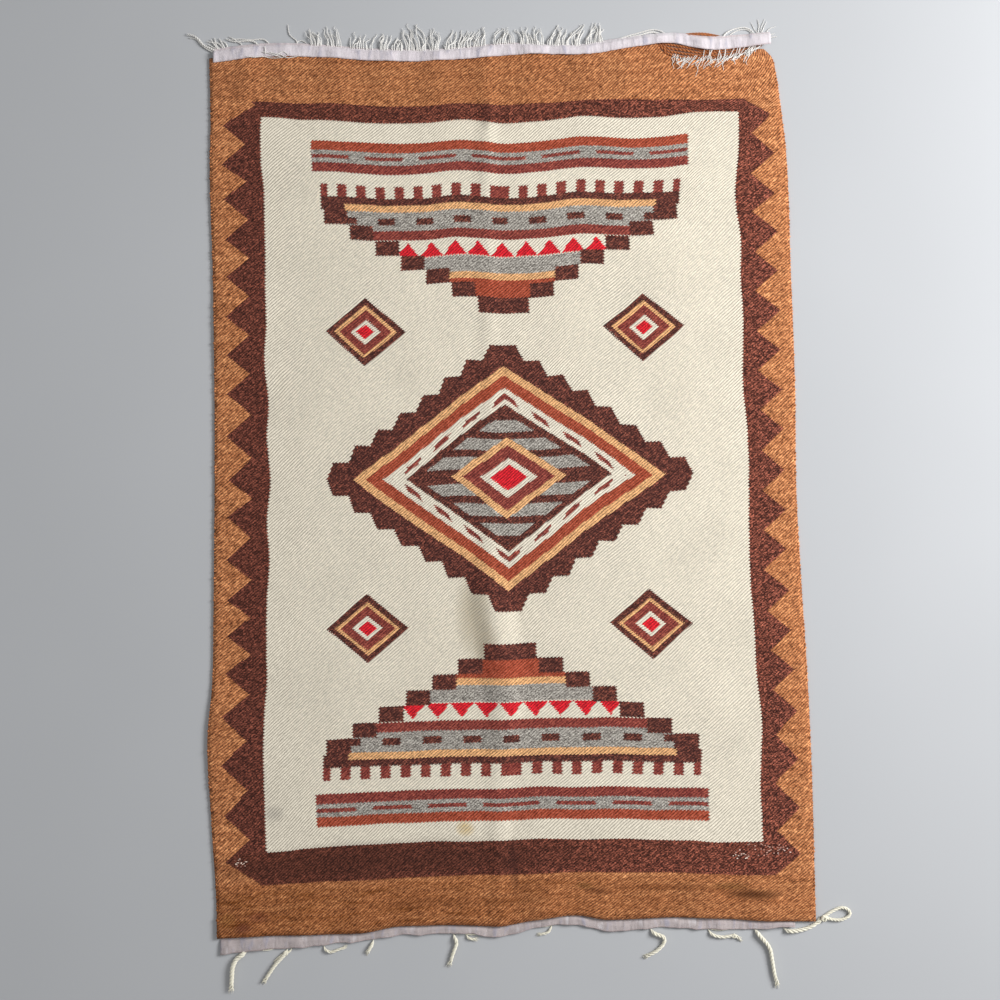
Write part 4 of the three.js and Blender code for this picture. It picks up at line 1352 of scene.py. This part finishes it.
@dataclass
class UpperFringe:
    """The white warp ends that stand out past the upper tape."""

    clumps: tuple[Clump, ...] = (
        Clump(-209, 12, -214, 13, 21, 5), Clump(-188, 16, -191, 16, 22, 6), Clump(-157, 26, -158, 30, 17, 8),
        Clump(-131, 9, -128, 11, 18, 4), Clump(-115, 11, -113, 9, 13, 4), Clump(-94, 22, -99, 19, 29, 9),
        Clump(-73, 8, -74, 9, 25, 4), Clump(-54, 12, -51, 12, 21, 5), Clump(-41, 7, -36, 8, 20, 3),
        Clump(-24, 20, -21, 17, 20, 8), Clump(8, 23, 10, 18, 18, 8), Clump(33, 15, 31, 16, 19, 6),
        Clump(48, 9, 47, 9, 23, 4), Clump(65, 15, 70, 12, 21, 6), Clump(79, 7, 84, 7, 17, 3),
        Clump(91, 8, 96, 8, 22, 4), Clump(111, 20, 115, 15, 22, 8))
    loners: tuple[tuple[float, tuple[tuple[float, float], ...]], ...] = (
        (1.7, ((-322, 514), (-334, 520), (-341, 524), (-346, 530), (-352, 535), (-360, 537))),
        (1.1, ((-323, 512), (-335, 518), (-343, 524), (-349, 531), (-357, 533))),
        (1.3, ((-319, 515), (-326, 521), (-332, 530))),
        (1.2, ((-314, 516), (-318, 523), (-322, 531))),
        (1.1, ((-318, 516), (-325, 522), (-328, 532))),
        (1.1, ((-316, 517), (-323, 525), (-329, 526), (-337, 528))),
        (1.0, ((-312, 517), (-314, 524), (-318, 528))),
        (0.9, ((-320, 516), (-328, 520), (-336, 525))),
        (1.3, ((-276, 520), (-282, 526), (-293, 527), (-304, 526.5), (-314, 530))),
        (1.0, ((-262, 520), (-270, 528), (-284, 528), (-299, 529.5), (-312, 529))),
        (0.9, ((-296, 523), (-304, 529), (-311, 533))),
        (0.8, ((-231, 518), (-232, 525), (-240, 533), (-242, 545))),
        (0.7, ((-236, 518), (-229, 525), (-222, 523), (-219, 517))),
        (1.1, ((130, 510), (147, 516.5), (163, 520.5), (177, 523.5), (188, 521.5), (197, 514))),
        (0.9, ((138, 510), (152, 516), (166, 518.5), (179, 520.5), (190, 516.5))),
        (0.8, ((150, 511), (162, 517), (176, 521.5), (187, 518.5), (193, 513))),
        (1.1, ((256, 510), (262, 517), (271, 521), (282, 522.5), (290, 519), (295, 512))),
        (0.8, ((262, 510), (268, 516), (277, 520), (286, 519.5), (292, 514))),
        (0.6, ((296, 512), (299, 522), (298, 532))),
        (0.6, ((301, 512), (304, 521), (308, 529))),
        (0.6, ((305, 512), (310, 519.5), (318, 523))),
        (0.5, ((300, 512), (294, 520), (290, 529))),
        (0.5, ((303, 512), (301, 520), (306, 532))),
        (0.8, ((304, 509.5), (311, 510), (319, 511))),
        (0.7, ((303, 512), (310, 513), (317, 514.5))),
    )
    extra: int = 3
    thread: float = 0.86
    fallen: float = 0.16
    seed: int = 11

    def build(self, material: bpy.types.Material) -> bpy.types.Object:
        """Builds all the warp ends.

        Args:
            material: The cotton's finish.

        Returns:
            The piece.
        """
        skein = Skein()
        chance = random.Random(self.seed)
        for clump in self.clumps:
            count = clump.strands + self.extra
            for index in range(count):
                share = index / (count - 1) - 0.5
                root = clump.root + share * clump.root_wide + chance.uniform(-0.8, 0.8)
                tip = clump.tip + share * clump.tip_wide * chance.uniform(0.4, 1.3) + chance.uniform(-3, 3)
                edge = LAID.tape_high.at(root)
                reach = clump.reach * chance.uniform(0.55, 1.08)
                bow = chance.uniform(-3.4, 3.4)
                height = chance.uniform(0.0, 1.8)
                if chance.random() < self.fallen:
                    tip, reach = tip + math.copysign(chance.uniform(5, 9), bow), reach * 0.45
                route = [(root, edge - 3, 1.2), (root + bow * 0.4, edge + 0.22 * reach, 1.3 + height),
                         (blend(root, tip, 0.5) + bow, edge + 0.62 * reach, height + 0.3),
                         (tip - bow * 0.2, edge + 0.9 * reach, height * 0.6),
                         (tip + bow * 0.4, edge + reach, height * 0.4)]
                radius = self.thread * chance.uniform(0.75, 1.2)
                skein.plied(smooth_route(route, 1.4), lambda share, r=radius: r * blend(1, 0.7, share), 2, 4.6, 0.3)
        for radius, route in self.loners:
            skein.plied(smooth_route(route, 1.3), lambda share, r=radius: r * blend(1, 0.8, share), 2, 6.0, 0.25, 0.1)
        piece = skein.piece("warp_fringe", material, Slot.COTTON, 4)
        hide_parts("top_fringe")
        return piece


class Rope(NamedTuple):
    """A thick warp cord: the place of its root, its radius, and the route past the tape."""

    root: float
    radius: float
    route: tuple[tuple[float, float], ...]


@dataclass
class LowerCords:
    """The thick cream warp cords that come out from behind the lower tape."""

    ropes: tuple[Rope, ...] = (
        Rope(-296, 2.8, ((-306, -515.5), (-313, -521), (-317, -530), (-318, -541), (-319, -555))),
        Rope(-254, 2.3, ((-257, -514), (-268, -526), (-276, -537), (-282, -546))),
        Rope(-214, 1.7, ((-213, -510), (-206, -513.5), (-198, -511), (-190, -508.5))),
        Rope(-158, 2.3, ((-159, -504), (-165, -514))),
        Rope(-71, 2.2, ((-67, -498.5), (-65, -505), (-69, -516), (-73, -528))),
        Rope(-56, 1.6, ((-52, -499), (-43, -501))),
        Rope(44, 1.6, ((38, -493), (28, -496))),
        Rope(148, 2.2, ((154, -495), (165, -500), (165, -507), (157, -515), (145, -521))),
        Rope(213, 1.8, ((218, -497), (230, -500.5), (243, -499), (250, -503))),
        Rope(262, 2.3, ((270, -498), (281, -512), (284, -527), (286, -541), (289, -553))),
        Rope(-248, 1.5, ((-252, -512), (-262, -517), (-268, -522))),
        Rope(296, 2.4, ((300, -493.5), (312, -494), (327, -490), (338, -483))))
    knots: tuple[tuple[float, float, float], ...] = ((-257, -514.5, 3.4), (243, -499.5, 3.2), (342, -481, 4.3))
    loop: tuple[tuple[float, float], ...] = ((340, -481), (350, -474), (361, -469.5), (369, -472), (370, -478),
                                             (361, -482.5), (350, -482), (342, -479))
    loop_radius: float = 1.9
    peeks: tuple[tuple[float, float], ...] = ((-290, -268), (-246, -228), (-62, -40), (24, 44), (214, 240))
    peek_radius: float = 1.0
    plump: float = 1.13
    turn: float = 13.0
    root_depth: float = 5.0

    def build(self, material: bpy.types.Material) -> bpy.types.Object:
        """Builds the cords, their knots and the open loop.

        Args:
            material: The cord's finish.

        Returns:
            The piece.
        """
        skein = Skein()
        for index, rope in enumerate(self.ropes):
            outer = LAID.tape_out.at(rope.root)
            start = (rope.root, outer + self.root_depth)
            line = smooth_route([start, *rope.route], 1.6)
            length = sum((b - a).length for a, b in zip(line, line[1:]))
            thin = (self.root_depth + 1.5) / length

            def size(share: float, radius: float = rope.radius * self.plump, covered: float = thin) -> float:
                """Radius of the cord: flat under the tape, full past it, a little thinner at the tip."""
                shown = 1 - fade(share, covered * 0.8, covered * 2.0)
                return blend(0.5, radius * blend(1, 0.82, share), shown)

            skein.plied(line, size, 3, self.turn + index % 3, 0.16)
            self.fibres(skein, line[-1], line[-1] - line[-3], rope.radius, index)
        skein.plied(smooth_route(self.loop, 1.6), lambda share: self.loop_radius, 3, 11.0)
        for x, y, radius in self.knots:
            self.knot(skein, x, y, radius)
        for index, (left, right) in enumerate(self.peeks):
            route = [(blend(left, right, share), LAID.tape_out.at(blend(left, right, share)) + dip)
                     for share, dip in ((0, 2.2), (0.3, -0.2), (0.7, -0.5), (1, 2.0))]
            skein.plied(smooth_route(route, 1.6), lambda share: self.peek_radius, 3, 8.0 + index)
        piece = skein.piece("warp_cords", material, Slot.CORD, 8)
        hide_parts("bottom_cords")
        return piece

    def fibres(self, skein: Skein, tip: Vector, ahead: Vector, radius: float, seed: int) -> None:
        """Adds the loose fibres at a cord's cut end.

        Args:
            skein: Where the threads go.
            tip: The end of the cord.
            ahead: The direction in which it ends.
            radius: The cord's radius.
            seed: Tells one end from another.
        """
        chance = random.Random(40 + seed)
        ahead = ahead.normalized()
        side = Vector((-ahead.y, ahead.x, 0))
        for _ in range(9):
            offset = chance.uniform(-0.8, 0.8) * radius
            spread = offset * 1.6 + chance.uniform(-1, 1)
            reach = chance.uniform(1.5, 4.5)
            start = tip - ahead * 3 + side * offset * 0.7
            end = tip + ahead * reach + side * spread
            middle = start.lerp(end, 0.6) + side * chance.uniform(-0.5, 0.5)
            low = chance.uniform(0.3, 1.4 * radius)
            route = [(start.x, start.y, low), (middle.x, middle.y, low * 0.9), (end.x, end.y, low * 0.5)]
            skein.thread(smooth_route(route, 1.2), 0.28, 0.35)

    def knot(self, skein: Skein, x: float, y: float, radius: float) -> None:
        """Adds an overhand knot as two crossing rings of cord.

        Args:
            skein: Where the threads go.
            x: Its place across.
            y: Its place along.
            radius: Its size.
        """
        for turn, tilt in ((0.4, 0.5), (1.7, -0.45)):
            ring = []
            for step in range(9):
                angle = 2 * math.pi * step / 8
                out = Vector((radius * 0.62 * math.cos(angle), radius * 0.5 * math.sin(angle), 0))
                out.rotate(Matrix.Rotation(tilt, 3, "X"))
                out.rotate(Matrix.Rotation(turn, 3, "Z"))
                ring.append((x + out.x, y + out.y, max(0.0, out.z + radius * 0.28)))
            skein.plied(smooth_route(ring, 1.4), lambda share: radius * 0.36, 3, 9.0)


@dataclass
class FrayedCorner:
    """The frayed corner: weft that has come loose, curly warp ends, and the yarn at the tape's edge."""

    crossings: tuple[tuple[float, float], ...] = ((190, 292), (182, 299), (179, 302), (177, 302), (176, 302))
    edge_clear: float = 1.0
    under_tape: float = 4.5
    fullness: float = 0.52
    curls: int = 42
    curl_span: tuple[float, float] = (198, 300)
    curl_drop: tuple[float, float] = (4, 12)
    long_every: int = 12
    long_drop: float = 15
    longest_drop: float = 21
    slack_every: int = 6
    slack_to: float = 212
    bridges: int = 18
    bridge_span: tuple[float, float] = (234, 296)
    edge_route: tuple[tuple[float, float], ...] = ((213, 517.4), (224, 517.9), (236, 517.4), (246, 515.8), (254, 514.1))

    def wefts(self, material: bpy.types.Material) -> bpy.types.Object:
        """Builds the loose weft that runs to and fro in the recess.

        Args:
            material: The tan yarn's finish.

        Returns:
            The piece.
        """
        skein = Skein()
        count = len(self.crossings)
        for row, (left, right) in enumerate(self.crossings):
            route = []
            for step in range(19):
                x = blend(left, right, step / 18)
                low, high = LAID.torn.at(x) + self.edge_clear, LAID.tape_low.at(x) + self.under_tape
                sway = 0.5 * wander(x, row * 40, 16, 4.4)
                route.append((x, blend(low, high, (row + 0.5) / count) + sway))

            def size(share: float, at: int = row, ends: tuple[float, float] = (left, right)) -> float:
                """Radius of the weft: it fills its share of the recess, thick and thin by turns."""
                x = blend(*ends, share)
                room = (LAID.tape_low.at(x) + self.under_tape - LAID.torn.at(x) - self.edge_clear) / count
                return min(1.8, max(0.6, room * self.fullness)) * (1 + 0.2 * wander(x, at * 30, 9, 6.1))

            skein.plied(smooth_route(route, 1.4), size, 2, 7.0 + row % 3)
        piece = skein.piece("loose_weft_yarn", material, Slot.TAN, 6)
        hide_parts("loose_wefts")
        return piece

    def warps(self, material: bpy.types.Material) -> bpy.types.Object:
        """Builds the curly warp ends and the few that still bridge the recess.

        Args:
            material: The cotton's finish.

        Returns:
            The piece.
        """
        skein = Skein()
        chance = random.Random(23)
        for index in range(self.curls):
            x = blend(*self.curl_span, (index + chance.random() * 0.8) / self.curls)
            y = LAID.torn.at(x)
            if index % self.long_every:
                drop = chance.uniform(*self.curl_drop)
            else:
                drop = self.longest_drop if index == self.long_every else self.long_drop
            slack = index % self.slack_every == 0 or x < self.slack_to
            lean, curl, phase = chance.uniform(-14, -4), chance.uniform(0.2, 0.9), chance.uniform(0, 6.28)
            if slack:
                lean, curl = chance.uniform(-4, 6), chance.uniform(1.0, 2.8)
            top = LAID.lift(x, y) + CLOTH_THICK + 0.35
            rise = chance.uniform(0.6, 4.5)
            route = [(x + rise * 0.6, y + rise + 1, 3.2), (x + 0.2, y + rise * 0.5, top)]
            for step in range(1, 7):
                share = step / 6
                sway = curl * math.sin(phase + share * chance.uniform(5, 8))
                route.append((x + lean * share + sway, y + rise * 0.5 - drop * share,
                              top + 0.5 * abs(math.sin(phase + share * 5))))
            skein.thread(smooth_route(route, 0.9), chance.uniform(0.32, 0.52), 0.6)
        for index in range(self.bridges):
            x = blend(*self.bridge_span, (index + chance.random() * 0.7) / self.bridges)
            low, high = LAID.torn.at(x) - chance.uniform(1, 4), LAID.tape_low.at(x) + 1.5
            lean, bow = chance.uniform(-1, 9), chance.uniform(-2.5, 2.5)
            route = [(x, low, 3.6), (x + lean * 0.4 + bow, blend(low, high, 0.45), 3.5), (x + lean, high, 3.3)]
            skein.plied(smooth_route(route, 1.2), lambda share: 0.48, 2, 4.0)
        piece = skein.piece("frayed_warp_ends", material, Slot.COTTON, 4)
        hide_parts("frayed_warps")
        return piece

    def edge(self, material: bpy.types.Material) -> bpy.types.Object:
        """Builds the tan yarn that shows past the upper tape.

        Args:
            material: The tan yarn's finish.

        Returns:
            The piece.
        """
        skein = Skein()
        for sink, radius in ((0.0, 1.0), (1.7, 1.2)):
            route = smooth_route([(x, y - sink) for x, y in self.edge_route], 1.2)
            skein.plied(route, lambda share, r=radius: r * blend(0.6, 1, hump(2 * share - 1)), 2, 7.0 + sink)
        piece = skein.piece("edge_weft_yarn", material, Slot.TAN, 6)
        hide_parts("edge_weft")
        return piece


@dataclass
class Studio:
    """Camera, pale floor and soft lights, placed in metres."""

    eye: tuple[float, float, float] = (0.0474, -0.07565, 1.45)
    turn: float = -1.2
    lean_x: float = 2.5
    lean_y: float = 2.2
    lens: float = 46.19
    floor_shade: tuple[int, int, int] = (186, 188, 191)
    floor_speckle: int = 8
    floor_half: float = 6.0
    floor_drop: float = 0.0002
    lamps: tuple[tuple[str, tuple[float, float, float], float, float], ...] = (
        ("window_light", (1.8, 0.5, 1.22), 1.0, 66.0),
        ("fill_light", (-1.4, -0.6, 2.0), 2.0, 6.0))
    ambient: float = 0.3

    def camera(self) -> None:
        """Sets up the camera."""
        data = bpy.data.cameras.new("camera")
        data.lens = self.lens
        data.sensor_width = 36
        data.clip_start = 0.01
        camera = bpy.data.objects.new("camera", data)
        turn = Matrix.Rotation(math.radians(self.turn), 4, "Z")
        turn = turn @ Matrix.Rotation(math.radians(self.lean_x), 4, "X")
        turn = turn @ Matrix.Rotation(math.radians(self.lean_y), 4, "Y")
        camera.matrix_world = Matrix.Translation(self.eye) @ turn
        bpy.context.scene.collection.objects.link(camera)
        bpy.context.scene.camera = camera

    def floor(self) -> None:
        """Lays the floor just under the rug."""
        shape = bmesh.new()
        bmesh.ops.create_grid(shape, x_segments=2, y_segments=2, size=self.floor_half)
        bmesh.ops.translate(shape, verts=shape.verts[:], vec=(0, 0, -self.floor_drop))
        mesh = bpy.data.meshes.new("floor")
        shape.to_mesh(mesh)
        shape.free()
        recipe = Recipe("pale_floor", roughness=0.8, sheen=0.0)
        speckle = recipe.noise(recipe.solid_point(), 3.0, 2.0)
        dusk = tuple(value - self.floor_speckle for value in self.floor_shade)
        mesh.materials.append(recipe.colour(recipe.mix(speckle, linear(dusk), linear(self.floor_shade))))
        floor = bpy.data.objects.new("floor", mesh)
        bpy.context.scene.collection.objects.link(floor)

    def lights(self) -> None:
        """Hangs the soft lights and sets the room's light."""
        for name, place, size, power in self.lamps:
            data = bpy.data.lights.new(name, "AREA")
            data.shape = "DISK"
            data.size = size
            data.energy = power
            lamp = bpy.data.objects.new(name, data)
            aim = Vector(place).to_track_quat("Z", "Y").to_matrix().to_4x4()
            lamp.matrix_world = Matrix.Translation(place) @ aim
            bpy.context.scene.collection.objects.link(lamp)
        world = bpy.data.worlds.new("room")
        world.use_nodes = True
        back = next(n for n in world.node_tree.nodes if n.type == "BACKGROUND")
        back.inputs[0].default_value = (1, 1, 1, 1)
        back.inputs[1].default_value = self.ambient
        bpy.context.scene.world = world
        bpy.context.scene.view_settings.view_transform = "Standard"


def main() -> None:
    """Builds the studio and the rug, piece by piece."""
    logging.basicConfig(level=logging.INFO, format="%(name)s: %(message)s")
    studio = Studio()
    studio.camera()
    studio.floor()
    studio.lights()

    wool = WovenWool().make()
    tan = SpunYarn("tan_yarn", (196, 122, 70), (140, 78, 42)).make()
    cotton = SpunYarn("white_cotton", (248, 246, 242), (210, 207, 202), 0.85).make()
    cream = SpunYarn("cream_cord", (246, 243, 228), (206, 199, 176), 0.85).make()
    upper_tape = RibbedTape("upper_tape", (238, 230, 233), (210, 201, 208), 15.0).make()
    lower_tape = RibbedTape("lower_tape", (207, 196, 193), (160, 148, 151), 19.0).make()

    cloth = Cloth()
    panel = cloth.panel(wool)
    turns = cloth.turns(wool)
    tapes = Tapes()
    upper, lower = tapes.build(upper_tape, lower_tape)
    basting = tapes.basting(cotton)
    fringe = UpperFringe().build(cotton)
    cords = LowerCords().build(cream)
    corner = FrayedCorner()
    wefts = corner.wefts(tan)
    warps = corner.warps(cotton)
    edge = corner.edge(tan)


if __name__ == "__main__":
    main()
